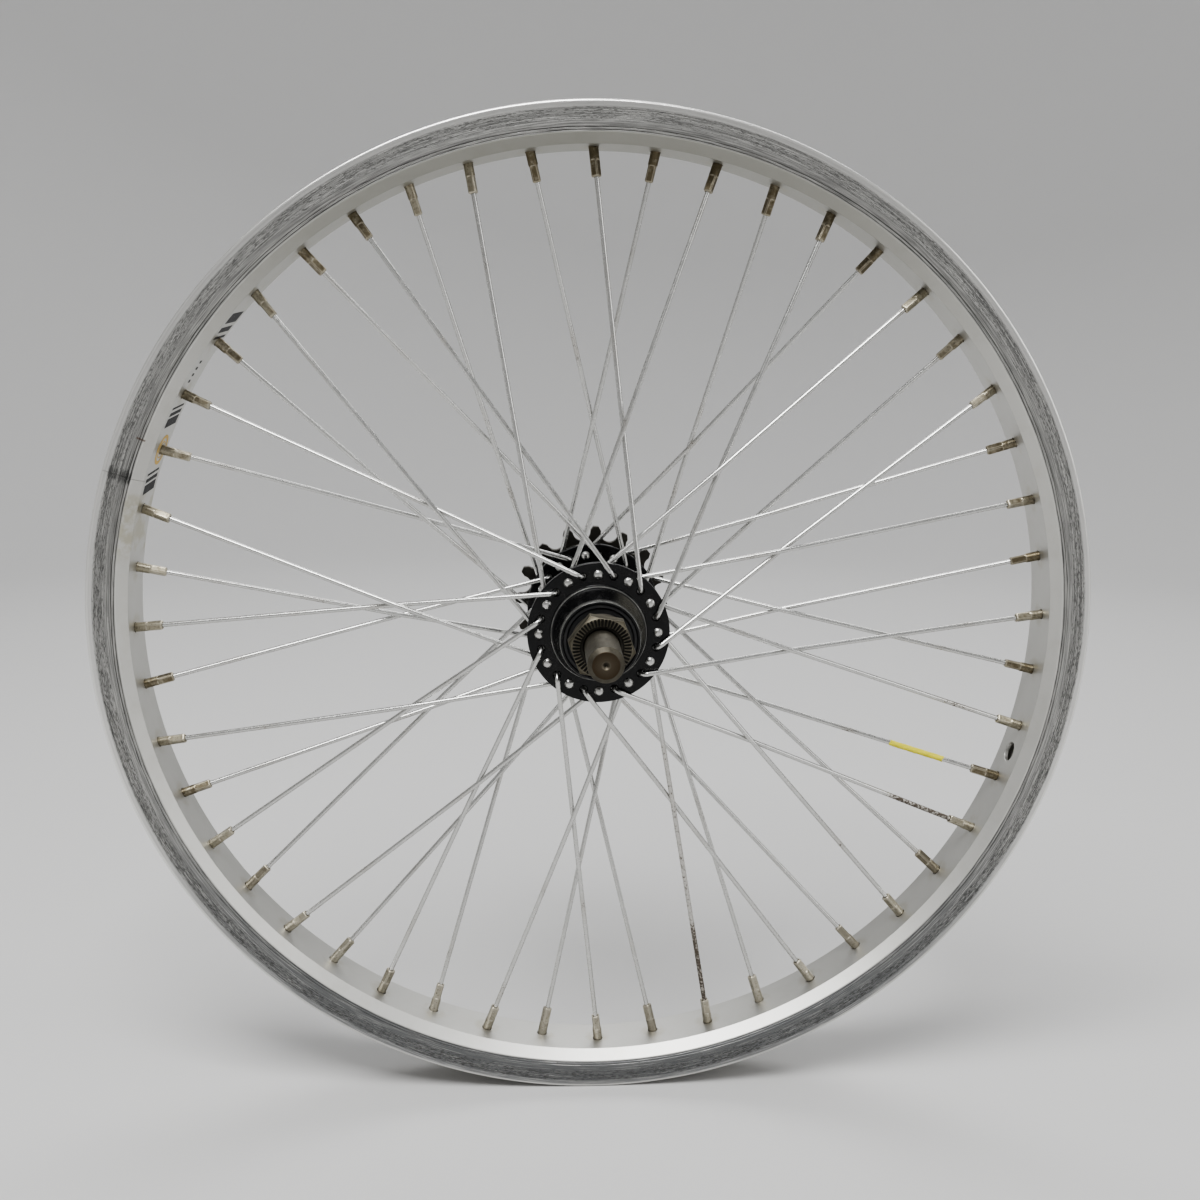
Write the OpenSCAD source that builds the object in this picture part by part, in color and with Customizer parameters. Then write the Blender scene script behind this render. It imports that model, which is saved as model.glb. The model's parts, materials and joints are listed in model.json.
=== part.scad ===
// Spoked BMX rear wheel: 20 inch double-wall rim, 48 crossed spokes, sealed hub, 16 tooth freewheel.
// Millimetres. The axle lies along Y and the wheel's centre is the origin; +Z is up.
// The freewheel is on the +Y side, called right; the plain side is -Y, called left.

/* [Rim] */
// Bead seat diameter of the rim, the size a tyre is sold by
bead_seat_d = 406; // [404:1:410]
// Width over the two side walls
rim_w = 30; // [28:0.5:34]
// Height of the rim section, from spoke bed to lip
rim_h = 16.25; // [15.5:0.25:18]
// Height of the side wall above the bead seat
bead_wall_h = 6.75; // [6:0.25:7]
// Width of the flat spoke bed
bed_w = 21.52; // [19:0.5:23]
// Thickness of the wall that carries the nipples
bed_wall = 1.8; // [1.5:0.1:2.2]
// Diameter of the valve hole
valve_hole_d = 8.5; // [6.5:0.5:8.5]

/* [Spokes] */
// Number of spokes, half of them to each flange
spoke_count = 48; // [36, 48]
// Spoke diameter
spoke_d = 2; // [1.8:0.1:2]
// Crossings that each spoke makes with its neighbours
crossings = 3; // [3]
// Angle of the first nipple hole above +X
rim_phase = 8.3; // [0:0.1:360]
// Distance of the nipple holes from the rim's middle plane, alternating from side to side
hole_stagger = 1.5; // [0.5:0.1:2]
// Distance from the wheel's plane to the woven crossing
lace_y = 16.8; // [16:0.1:17.5]
// Distance between the two centrelines where they weave
lace_gap = 2.2; // [2.15:0.05:2.4]
// Length of a nipple that shows inside the rim
nipple_show = 12; // [9:0.5:13]

/* [Hub] */
// Outside diameter of the flanges
flange_d = 58.4; // [56:0.2:62]
// Pitch circle of the spoke holes
hole_circle_d = 48.66; // [47:0.02:50]
// Distance between the middles of the two flanges
flange_spread = 51; // [49:0.5:53]
// Flange thickness
flange_t = 3; // [2.6:0.1:3.2]

/* [Axle] */
// Thread diameter of the axle's ends
axle_d = 14; // [14]
// Overall length of the axle
axle_len = 167; // [155:1:175]
// Distance over the two locknuts, which is the frame's opening
over_locknuts = 110; // [110]

/* [Freewheel] */
// Sprocket teeth
sprocket_teeth = 16; // [16:1:18]

/* [Hidden] */

$fn = 96;
slack = 0.02;          // clearance of a part held fast on its neighbour
running = 0.05;        // clearance of a part that turns or threads on its neighbour

// Rim section radii, all from the bead seat
seat_r = bead_seat_d / 2;
lip_r = seat_r + bead_wall_h;
bed_r = lip_r - rim_h;
cavity_r = bed_r + bed_wall;
half_w = rim_w / 2;
bed_half = bed_w / 2;
side_wall = 2.2;       // thickness of the side walls
well_depth = 2;        // depth of the centre well below the bead seats
skin = 1.7;            // thickness of the wall between cavity and tyre
chamfer_h = 3.9;       // height of the sloped shoulder beside the bed
lip_round = 1.1;       // rounding of the lip
groove_w = 0.4;
groove_depth = 0.25;
groove_heights = [0.8, 1.9];   // heights of the wear grooves above the shoulder
seam_gap = 0.12;

// Nipple and its drilling
nipple_r = 2;
nipple_flat = 3.4;
nipple_square_len = 6.5;
nipple_head_r = 3.1;
nipple_head_len = 2.2;
nipple_chamfer = 0.4;
nipple_hole_r = 2.25;
access_r = 4.5;
slot_w = 1.1;
seat_rise = 2.5;       // distance along a nipple from the bed to its seat in the rim

// Spoke geometry
spoke_r = spoke_d / 2;
elbow_r = 2.5;         // bend radius at the centreline
elbow_tube = spoke_r + 0.03;
elbow_sink = 0.2;      // the bend starts this far inside the flange
head_r = 1.95;
head_h = 1.5;
head_dome_r = 2.4;
hole_circle_r = hole_circle_d / 2;
flange_r = flange_d / 2;
rim_pitch = 360 / spoke_count;
cross_angle = crossings * 2 * rim_pitch;
flange_in = flange_spread / 2 - flange_t / 2;
flange_out = flange_spread / 2 + flange_t / 2;
spoke_hole_r = spoke_r + 0.3;
countersink = 0.5;
per_family = spoke_count / 4;
seam_angle = rim_phase + 20.5 * rim_pitch;
valve_angle = seam_angle + 180;
tape_index = 44;
tape_from_bed = 25;
tape_len = 24.5;
tape_r = 1.6;

// Hub, bearing and axle stations, measured outward from the wheel's plane
bearing_r = 14;
bearing_w = 7;
bearing_in = 33;
bearing_mid = bearing_in + bearing_w / 2;
bearing_out = bearing_in + bearing_w;
race_bore_r = 7.5;
inner_race_r = 9.6;
outer_race_bore_r = 11.8;
shield_r = 12.8;
ball_r = 3.969 / 2;
ball_circle_r = 10.75;
ball_count = 11;
track_r = ball_r + running;
seal_r = 14.9;
hub_end = 42.3;
barrel_r = 16;
boss_r = 19.6;
boss_end_r = 16.1;
axle_r = axle_d / 2;
axle_mid_r = 8.5;
thread_mid_r = axle_r - 0.32;  // middle of the thread, where the locknut and the axle share it
axle_end = axle_len / 2;
journal_end = 47.5;
spacer_end = 47;
spacer_sleeve_r = 9.3;
spacer_flange_r = 12;
spacer_flange_t = 2;
locknut_face = over_locknuts / 2;
serration_h = 0.5;
serration_count = 48;
serration_in = 8.4;
serration_len = 3.1;
nut_recess_r = 8.7;
nut_recess_depth = 1.5;
nut_corner_r = 13.5;
nut_turn = -9.1;

// Freewheel stations, measured outward from the wheel's plane
thread_r = 17.4;
thread_shoulder = 31;
fw_in = thread_shoulder + 0.1;
fw_out = 46;
fw_drum_r = 22;
fw_ball_r = 3.175 / 2;
fw_ball_circle_r = 22.7;
fw_ball_count = 36;
fw_row_in = 33.2;
fw_row_out = 43.4;
fw_bore_r = 23.4;
fw_ring_r = 27;
fw_cover_in = 41.55;
fw_cover_bore = 19.5;
ratchet_teeth = 24;
ratchet_tip_r = 23;
ratchet_root_r = 24.6;
ratchet_low = 35.2;
ratchet_high = 41.2;
pawl_low = 35.6;
pawl_high = 40.8;
pawl_pivot_r = 20.2;
pawl_heel_r = 1.6;
pin_hole_circle_r = 21.4;
pin_hole_r = 1.1;
notch_w = 4;
notch_in = 14;
pawl_angles = [-20, -200];
chain_pitch = 12.7;
roller_r = 4;
sprocket_r = chain_pitch / 2 / sin(180 / sprocket_teeth);
sprocket_tip_r = sprocket_r + 2.25;
sprocket_plane = 42;
sprocket_t = 3;
sprocket_turn = 87;

// ---------- placing ----------

function polar(r, a) = [r * cos(a), r * sin(a)];

// Axle frame: local Z points to the left side (-Y), angles turn from +X to +Z
module on_axle() rotate([90, 0, 0]) children();

// The same frame turned to the right side: stations count outward there too, and angles turn back
module turned() rotate([180, 0, 0]) children();
module on_right() on_axle() turned() children();

// A spoke family is [first rim hole, direction round the hub, elbow outside (1) or inside (-1),
// sense of the angles on its side]
LEFT_OUTER = [3, 1, 1, 1];
LEFT_INNER = [1, -1, -1, 1];
RIGHT_OUTER = [2, -1, 1, -1];
RIGHT_INNER = [0, 1, -1, -1];

function rim_angle(index) = rim_phase + index * rim_pitch;

// Straight distance between a hub hole and its rim hole, seen along the axle
spoke_run = sqrt(pow(hole_circle_r, 2) + pow(bed_r, 2) - 2 * hole_circle_r * bed_r * cos(cross_angle));

// Where, along that distance, the spoke meets the last neighbour that it crosses
cross_half = 180 / (spoke_count / 4) / 2 + (crossings - 1) * 180 / (spoke_count / 4);
function bearing_of(t) = atan2(t * bed_r * sin(cross_angle),
  hole_circle_r + t * (bed_r * cos(cross_angle) - hole_circle_r));
function find_crossing(low, high, steps) =
  steps == 0 ? (low + high) / 2
  : bearing_of((low + high) / 2) < cross_half
    ? find_crossing((low + high) / 2, high, steps - 1)
    : find_crossing(low, (low + high) / 2, steps - 1);
knee_at = spoke_run * find_crossing(0, 1, 30);

// Height of the woven crossing: an outer spoke dips under the inner one
function knee_height(elbow) = lace_y - elbow * lace_gap / 2;
function elbow_height(elbow) = elbow > 0 ? flange_out - elbow_sink : flange_in + elbow_sink;

// Downward slope of the stretch from elbow to knee, tangent to the bend
function first_slope(elbow) =
  let (run = knee_at - elbow_r, drop = elbow_height(elbow) - knee_height(elbow))
  elbow * asin(elbow_r / norm([run, drop])) + atan2(drop, run);

// Downward slope of the stretch from knee to rim
function last_slope(elbow) = atan2(knee_height(elbow) - hole_stagger, spoke_run - knee_at);
function last_length(elbow) = norm([knee_height(elbow) - hole_stagger, spoke_run - knee_at]);

// Puts a child at the hub hole of one spoke, local X towards its rim hole
module at_hub_hole(index, family) {
  hole_angle = rim_angle(index) - family[1] * cross_angle;
  from = polar(hole_circle_r, family[3] * hole_angle);
  to = polar(bed_r, family[3] * rim_angle(index));
  translate([from[0], from[1], 0])
    rotate(atan2(to[1] - from[1], to[0] - from[0]))
      children();
}

// Puts a child at the rim hole of one spoke, local Z outward along the nipple
module at_nipple(index, family) {
  at_hub_hole(index, family)
    translate([spoke_run, 0, hole_stagger])
      rotate([0, 90 + last_slope(family[2]), 0])
        children();
}

module each_nipple(family) {
  for (i = [0 : per_family - 1])
    at_nipple(family[0] + 4 * i, family)
      children();
}

// ---------- rim ----------

// One half of a symmetric section is listed, and mirrored to close it
function mirrored(half) = concat(half, [for (i = [len(half) - 1 : -1 : 0]) [half[i][0], -half[i][1]]]);

// Half of the outside of the rim section, from bed over the lip to the centre well
function rim_half() = concat(
  [[bed_r, bed_half], [bed_r + chamfer_h, half_w], [lip_r - lip_round, half_w]],
  [for (a = [60 : -30 : -60])
    [lip_r - lip_round + lip_round * cos(a), half_w - lip_round + lip_round * sin(a)]],
  [[lip_r - 2.2, half_w - side_wall - 0.4],
   [lip_r - 3.2, half_w - side_wall],
   [seat_r + 0.6, half_w - side_wall],
   [seat_r, half_w - side_wall - 0.6],
   [seat_r, bed_half - 1.2],
   [seat_r - well_depth, bed_half - 3.2]]);

function cavity_half(inset) = [
  [cavity_r + inset, bed_half - 0.9 - inset],
  [bed_r + chamfer_h + 0.6, half_w - side_wall - inset],
  [seat_r - skin - inset, half_w - side_wall - inset],
  [seat_r - skin - inset, bed_half - 0.7 - inset],
  [seat_r - well_depth - skin - inset, bed_half - 2.7 - inset]];

module wear_grooves() {
  for (side = [-1, 1], h = groove_heights)
    translate([bed_r + chamfer_h + h, side * half_w])
      square([groove_w, 2 * groove_depth], center = true);
}

// Stepped drilling: the nipple hole in the bed, then the seat and the access hole behind it
module nipple_drilling() {
  translate([0, 0, -3])
    cylinder(r = nipple_hole_r, h = 10, $fn = 32);
  translate([0, 0, seat_rise])
    cylinder(r = access_r, h = 12, $fn = 32);
}

module all_drilling() {
  each_nipple(LEFT_OUTER) nipple_drilling();
  each_nipple(LEFT_INNER) nipple_drilling();
  turned() each_nipple(RIGHT_OUTER) nipple_drilling();
  turned() each_nipple(RIGHT_INNER) nipple_drilling();
}

module rim() {
  color("silver") on_axle() difference() {
    rotate_extrude($fn = 360) difference() {
      polygon(mirrored(rim_half()));
      polygon(mirrored(cavity_half(0)));
      wear_grooves();
    }
    all_drilling();
    rotate([90, 0, valve_angle + 90])
      translate([0, 0, bed_r - 2])
        cylinder(d = valve_hole_d, h = 14, $fn = 48);
    rotate(seam_angle)
      translate([bed_r - 1, -seam_gap / 2, -rim_w])
        cube([rim_h + 2, seam_gap, 2 * rim_w]);
  }
}

module rim_joint_sleeve() {
  sleeve_angle = 12;
  color("gray") on_axle() difference() {
    rotate(seam_angle - sleeve_angle / 2)
      rotate_extrude(angle = sleeve_angle, $fn = 360)
        polygon(mirrored(cavity_half(0.1)));
    all_drilling();
  }
}

// ---------- spokes and nipples ----------

module rod(length, r) {
  cylinder(r = r, h = length, $fn = 32);
}

// Button head, its flat side at height 0 and its dome pointing up
module spoke_head() {
  intersection() {
    cylinder(r = head_r, h = head_h, $fn = 48);
    translate([0, 0, head_h - head_dome_r])
      sphere(r = head_dome_r, $fn = 64);
  }
}

// One spoke in its own plane: head and shank at the hub hole, bend, knee at the weave, rim end
module spoke(elbow) {
  rise = elbow_height(elbow);
  slope = first_slope(elbow);
  leave = [elbow_r + elbow * elbow_r * sin(slope), rise + elbow * elbow_r * cos(slope)];
  knee = [knee_at, knee_height(elbow)];
  seat = elbow > 0 ? flange_in : flange_out;
  overlap = 0.3;
  knee_gap = 0.1;
  translate([0, 0, seat])
    rotate([elbow > 0 ? 180 : 0, 0, 0])
      spoke_head();
  translate([0, 0, min(seat, rise) - overlap])
    rod(abs(rise - seat) + 2 * overlap, spoke_r);
  translate([elbow_r, 0, rise])
    rotate([90, elbow > 0 ? -(90 - slope) : -180, 0])
      rotate_extrude(angle = 90 + elbow * slope, $fn = 64)
        translate([elbow_r, 0])
          circle(r = elbow_tube, $fn = 32);
  translate([leave[0], 0, leave[1]])
    rotate([0, 90 + slope, 0])
      translate([0, 0, -overlap])
        rod(norm(knee - leave) + overlap - knee_gap, spoke_r);
  translate([knee[0], 0, knee[1]]) {
    sphere(r = elbow_tube, $fn = 32);
    rotate([0, 90 + last_slope(elbow), 0])
      translate([0, 0, knee_gap])
        rod(last_length(elbow) + 1 - knee_gap, spoke_r);
  }
}

module spoke_set(family) {
  for (i = [0 : per_family - 1])
    at_hub_hole(family[0] + 4 * i, family)
      spoke(family[2]);
}

module spokes_left_outer() color("lightgray") on_axle() spoke_set(LEFT_OUTER);
module spokes_left_inner() color("lightgray") on_axle() spoke_set(LEFT_INNER);
module spokes_right_outer() color("lightgray") on_right() spoke_set(RIGHT_OUTER);
module spokes_right_inner() color("lightgray") on_right() spoke_set(RIGHT_INNER);

// Nipple with its flats towards the hub, origin at the bed, Z outward
module nipple() {
  head_top = seat_rise + nipple_head_len;
  outline = [
    [0, -nipple_show],
    [nipple_r - nipple_chamfer, -nipple_show],
    [nipple_r, nipple_chamfer - nipple_show],
    [nipple_r, seat_rise + slack],
    [nipple_head_r, seat_rise + slack],
    [nipple_head_r, head_top - nipple_chamfer],
    [nipple_head_r - nipple_chamfer, head_top],
    [0, head_top]];
  difference() {
    rotate_extrude($fn = 48) polygon(outline);
    for (a = [0 : 90 : 270])
      rotate(a)
        translate([nipple_flat / 2, -nipple_r, -nipple_show - 1])
          cube([nipple_r, 2 * nipple_r, nipple_square_len + 1]);
    translate([0, 0, -nipple_show - 1])
      cylinder(r = spoke_r + running, h = nipple_show + head_top + 2, $fn = 32);
    translate([-nipple_head_r - 1, -slot_w / 2, head_top - 1])
      cube([2 * nipple_head_r + 2, slot_w, 3]);
  }
}

module nipples_left() {
  color("tan") on_axle() {
    each_nipple(LEFT_OUTER) nipple();
    each_nipple(LEFT_INNER) nipple();
  }
}

module nipples_right() {
  color("tan") on_right() {
    each_nipple(RIGHT_OUTER) nipple();
    each_nipple(RIGHT_INNER) nipple();
  }
}

module spoke_tape() {
  color("khaki") on_right()
    at_nipple(tape_index, RIGHT_INNER)
      translate([0, 0, -tape_from_bed - tape_len])
        difference() {
          rod(tape_len, tape_r);
          translate([0, 0, -1])
            rod(tape_len + 2, spoke_r + slack);
        }
}

// ---------- hub shell ----------

module flange_holes(first_angle) {
  for (j = [0 : spoke_count / 2 - 1])
    rotate(first_angle + j * 2 * rim_pitch)
      translate([hole_circle_r, 0, flange_in]) {
        translate([0, 0, -1])
          cylinder(r = spoke_hole_r, h = flange_t + 2, $fn = 32);
        translate([0, 0, -countersink])
          cylinder(r1 = spoke_hole_r + 2 * countersink, r2 = spoke_hole_r, h = 2 * countersink, $fn = 32);
        translate([0, 0, flange_t - countersink])
          cylinder(r1 = spoke_hole_r, r2 = spoke_hole_r + 2 * countersink, h = 2 * countersink, $fn = 32);
      }
}

// Outside of one half of the shell, as [radius, station], from the middle out to the flange
function flange_side() = [
  [barrel_r - 1.5, 0],
  [barrel_r - 1.5, 16],
  [barrel_r, flange_in - 3],
  [barrel_r + 2, flange_in - 0.8],
  [barrel_r + 3, flange_in],
  [flange_r - 0.4, flange_in],
  [flange_r, flange_in + 0.4],
  [flange_r, flange_out - 0.4],
  [flange_r - 0.4, flange_out]];

// Inside of one half, as [radius, station], from the end back to the middle
function shell_bore() = [
  [seal_r, hub_end],
  [seal_r, bearing_out + 0.2],
  [bearing_r + slack, bearing_out + 0.2],
  [bearing_r + slack, bearing_in],
  [outer_race_bore_r, bearing_in],
  [outer_race_bore_r, 0]];

boss_len = hub_end - flange_out;
function left_boss() = concat(
  [for (s = [0 : 0.125 : 1])
    [boss_end_r + (boss_r - boss_end_r) * pow(1 - s, 1.6), flange_out + s * (boss_len - 1)]],
  [[boss_end_r, hub_end - 0.4], [boss_end_r - 0.4, hub_end]]);

function right_boss() = [
  [boss_r, flange_out],
  [boss_r, thread_shoulder],
  [thread_r - 0.6, thread_shoulder],
  [thread_r, thread_shoulder + 0.6],
  [thread_r, hub_end - 0.6],
  [thread_r - 0.6, hub_end]];

module shell_half(boss) {
  rotate_extrude($fn = 128)
    polygon(concat(flange_side(), boss, shell_bore()));
}

module hub_shell() {
  color("black") on_axle() difference() {
    union() {
      shell_half(left_boss());
      turned() shell_half(right_boss());
    }
    flange_holes(rim_angle(1) - cross_angle);
    turned() flange_holes(cross_angle - rim_angle(0));
  }
}

// ---------- axle and its stack ----------

module ring(r_in, r_out, low, high, fn = 96) {
  translate([0, 0, low])
    difference() {
      cylinder(r = r_out, h = high - low, $fn = fn);
      translate([0, 0, -1])
        cylinder(r = r_in, h = high - low + 2, $fn = fn);
    }
}

module axle() {
  tip_r = 5.1;
  tip_len = 1.5;
  centre_r = 2;
  half = [
    [axle_mid_r, bearing_in],
    [race_bore_r, bearing_in],
    [race_bore_r, journal_end - 0.5],
    [thread_mid_r, journal_end],
    [thread_mid_r, locknut_face + 0.1],
    [axle_r, locknut_face + 0.1],
    [axle_r, axle_end - tip_len],
    [tip_r, axle_end]];
  outline = concat(half, [[0, axle_end]],
    [[0, -axle_end]], [for (i = [len(half) - 1 : -1 : 0]) [half[i][0], -half[i][1]]]);
  color("dimgray") on_axle() difference() {
    rotate_extrude($fn = 96) polygon(outline);
    for (turn = [0, 180])
      rotate([turn, 0, 0])
        translate([0, 0, axle_end - centre_r])
          cylinder(r1 = 0, r2 = centre_r, h = centre_r, $fn = 32);
  }
}

module spacer() {
  ring(race_bore_r + slack, spacer_sleeve_r, bearing_out + 0.05, spacer_end - spacer_flange_t);
  ring(race_bore_r + slack, spacer_flange_r, spacer_end - spacer_flange_t, spacer_end);
}

// Hexagon nut, its corners rounded off towards the frame, with a ring of sharp teeth that bites the frame
module locknut() {
  low = spacer_end + slack;
  high = locknut_face - serration_h;
  tooth_half = 0.5;
  difference() {
    union() {
      intersection() {
        translate([0, 0, low])
          rotate(nut_turn)
            cylinder(r = nut_corner_r, h = high - low, $fn = 6);
        translate([0, 0, low])
          cylinder(r1 = nut_corner_r + 3.6, r2 = nut_corner_r - 1, h = high - low, $fn = 96);
      }
      for (i = [0 : serration_count - 1])
        rotate(i * 360 / serration_count)
          translate([serration_in, 0, high])
            rotate([90, 0, 90])
              linear_extrude(serration_len)
                polygon([[-tooth_half, -0.1], [tooth_half, -0.1], [0, serration_h]]);
    }
    translate([0, 0, low - 1])
      cylinder(r = thread_mid_r + running, h = high - low + 3, $fn = 64);
    translate([0, 0, high - nut_recess_depth])
      cylinder(r = nut_recess_r, h = 2 * nut_recess_depth, $fn = 64);
    translate([0, 0, low - 0.01])
      cylinder(r = race_bore_r + running, h = journal_end - low + 0.1, $fn = 64);
  }
}

module left_spacer() color("dimgray") on_axle() spacer();
module right_spacer() color("dimgray") on_right() spacer();
module left_locknut() color("dimgray") on_axle() locknut();
module right_locknut() color("dimgray") on_right() locknut();

module dust_seal() {
  ring(inner_race_r, seal_r - slack, bearing_out + 0.4, hub_end - 0.3);
}

module left_dust_seal() color("black") on_axle() dust_seal();
module right_dust_seal() color("black") on_right() dust_seal();

// ---------- cartridge bearings ----------

module ball_track(circle_r, r) {
  rotate_extrude($fn = 96)
    translate([circle_r, 0])
      circle(r = r, $fn = 48);
}

module outer_race() {
  shield_land = 2.6;
  translate([0, 0, bearing_mid])
    difference() {
      ring(outer_race_bore_r, bearing_r, -bearing_w / 2, bearing_w / 2);
      ball_track(ball_circle_r, track_r);
      for (turn = [0, 180])
        rotate([turn, 0, 0])
          translate([0, 0, shield_land])
            cylinder(r = shield_r, h = 5, $fn = 96);
    }
}

module inner_race() {
  translate([0, 0, bearing_mid])
    difference() {
      ring(race_bore_r + slack, inner_race_r, -bearing_w / 2, bearing_w / 2);
      ball_track(ball_circle_r, track_r);
    }
}

module ball_row(count, circle_r, r) {
  for (i = [0 : count - 1])
    rotate(i * 360 / count)
      translate([circle_r, 0, 0])
        sphere(r = r, $fn = 32);
}

// Ball retainer with square windows
module cage() {
  cage_in = 10.1;
  cage_out = 11.4;
  cage_half = 2.4;
  translate([0, 0, bearing_mid])
    difference() {
      ring(cage_in, cage_out, -cage_half, cage_half);
      for (i = [0 : ball_count - 1])
        rotate(i * 360 / ball_count)
          translate([5, -track_r, -track_r])
            cube([10, 2 * track_r, 2 * track_r]);
    }
}

module shields() {
  shield_low = 2.65;
  shield_high = 3.35;
  for (turn = [0, 180])
    translate([0, 0, bearing_mid])
      rotate([turn, 0, 0])
        ring(inner_race_r + 0.3, shield_r - slack, shield_low, shield_high);
}

module bearing_balls() {
  translate([0, 0, bearing_mid])
    ball_row(ball_count, ball_circle_r, ball_r);
}

module left_outer_race() color("lightgray") on_axle() outer_race();
module left_inner_race() color("lightgray") on_axle() inner_race();
module left_balls() color("white") on_axle() bearing_balls();
module left_cage() color("goldenrod") on_axle() cage();
module left_bearing_shields() color("black") on_axle() shields();
module right_outer_race() color("lightgray") on_right() outer_race();
module right_inner_race() color("lightgray") on_right() inner_race();
module right_balls() color("white") on_right() bearing_balls();
module right_cage() color("goldenrod") on_right() cage();
module right_bearing_shields() color("black") on_right() shields();

// ---------- freewheel ----------

// Pawl arm when folded in, pivot at angle 0, nose pointing forward round the body.
// Its back runs out from the heel to the nose, and its belly comes back.
module pawl_arm() {
  polygon([polar(21.7, -0.5), polar(22.1, 8), polar(22.3, 16), polar(22.6, 23),
    polar(20.9, 24.5), polar(20, 12), polar(18.8, 2)]);
}

module pawl_pocket() {
  translate([pawl_pivot_r, 0])
    circle(r = pawl_heel_r + running, $fn = 32);
  polygon([polar(23.5, -0.7), polar(23.5, 27), polar(20.1, 26.5), polar(19.3, 12), polar(18.7, 2.6)]);
}

module pawl(angle) {
  rotate(angle)
    translate([0, 0, pawl_low])
      union() {
        translate([pawl_pivot_r, 0, 0])
          cylinder(r = pawl_heel_r, h = pawl_high - pawl_low, $fn = 32);
        linear_extrude(pawl_high - pawl_low)
          pawl_arm();
      }
}

// Four tool notches across the outer end of the body
module tool_notches() {
  for (a = [0 : 90 : 270])
    rotate(a + 45)
      translate([notch_in, -notch_w / 2, fw_out - 2.5])
        cube([4.6, notch_w, 3]);
}

module freewheel_body() {
  body_bore_r = 16;
  outline = [
    [thread_r + running, fw_in],
    [fw_drum_r - 0.5, fw_in],
    [fw_drum_r, fw_in + 0.5],
    [fw_drum_r, fw_cover_in - running],
    [fw_cover_bore, fw_cover_in - running],
    [fw_cover_bore, fw_out - 0.3],
    [fw_cover_bore - 0.3, fw_out],
    [body_bore_r, fw_out],
    [body_bore_r, hub_end + 0.5],
    [thread_r + running, hub_end + 0.5]];
  color("dimgray") on_right() difference() {
    rotate_extrude($fn = 128) polygon(outline);
    translate([0, 0, fw_row_in]) ball_track(fw_ball_circle_r, fw_ball_r + running);
    for (a = pawl_angles)
      rotate(a)
        translate([0, 0, pawl_low - 0.2])
          linear_extrude(pawl_high - pawl_low + 0.4)
            pawl_pocket();
    tool_notches();
  }
}

// Screwed ring that keeps the outboard balls in, with two holes for a pin tool
module freewheel_cover() {
  color("gray") on_right() difference() {
    union() {
      ring(fw_cover_bore + running, fw_drum_r, fw_cover_in, fw_out);
      ring(fw_cover_bore + running, fw_bore_r - 0.2, fw_out - 0.9, fw_out + 0.6);
    }
    translate([0, 0, fw_row_out]) ball_track(fw_ball_circle_r, fw_ball_r + running);
    for (a = [0, 180])
      rotate(a)
        translate([pin_hole_circle_r, 0, fw_out - 1.5])
          cylinder(r = pin_hole_r, h = 3, $fn = 32);
  }
}

// Chain teeth: roller seats on the pitch circle, opening outward so the teeth end narrow
module sprocket_outline() {
  gap_low = 3.95;
  gap_high = 6.9;
  difference() {
    circle(r = sprocket_tip_r, $fn = 128);
    for (i = [0 : sprocket_teeth - 1])
      rotate((i + 0.5) * 360 / sprocket_teeth - sprocket_turn) {
        translate([sprocket_r, 0])
          circle(r = roller_r, $fn = 48);
        polygon([[sprocket_r, -gap_low], [sprocket_tip_r + 1, -gap_high],
          [sprocket_tip_r + 1, gap_high], [sprocket_r, gap_low]]);
      }
  }
}

// Saw teeth: a radial driving face, then a ramp that lifts the pawl when coasting
module ratchet_opening() {
  pitch = 360 / ratchet_teeth;
  start = pawl_angles[0] + 1.5 * pitch;
  polygon([for (i = [0 : ratchet_teeth - 1], r = [ratchet_tip_r, ratchet_root_r])
    polar(r, start - i * pitch)]);
}

module freewheel_sprocket() {
  low = fw_in + 0.9;
  high = fw_out - 0.4;
  color("dimgray") on_right() difference() {
    union() {
      translate([0, 0, low])
        cylinder(r = fw_ring_r, h = high - low, $fn = 128);
      translate([0, 0, sprocket_plane - sprocket_t / 2])
        linear_extrude(sprocket_t)
          sprocket_outline();
    }
    translate([0, 0, low - 1])
      cylinder(r = fw_bore_r, h = ratchet_low - low + 1, $fn = 128);
    translate([0, 0, ratchet_high])
      cylinder(r = fw_bore_r, h = 10, $fn = 128);
    translate([0, 0, ratchet_low - 1])
      linear_extrude(ratchet_high - ratchet_low + 2)
        ratchet_opening();
    for (z = [fw_row_in, fw_row_out])
      translate([0, 0, z]) ball_track(fw_ball_circle_r, fw_ball_r + running);
  }
}

module freewheel_pawl_front() color("silver") on_right() pawl(pawl_angles[0]);
module freewheel_pawl_rear() color("silver") on_right() pawl(pawl_angles[1]);

// A leaf under each pawl, between its belly and the pocket's floor
module pawl_springs() {
  leaf_t = 0.25;
  root_r = 19.5;
  tip_r = 20.35;
  color("lightgray") on_right()
    for (a = pawl_angles)
      rotate(a)
        translate([0, 0, pawl_low + 1.5])
          linear_extrude(2)
            polygon([polar(root_r, 12.5), polar(tip_r, 24),
              polar(tip_r + leaf_t, 24), polar(root_r + leaf_t, 12.5)]);
}

module freewheel_balls_inboard() {
  color("white") on_right()
    translate([0, 0, fw_row_in])
      ball_row(fw_ball_count, fw_ball_circle_r, fw_ball_r);
}

module freewheel_balls_outboard() {
  color("white") on_right()
    translate([0, 0, fw_row_out])
      ball_row(fw_ball_count, fw_ball_circle_r, fw_ball_r);
}

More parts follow.
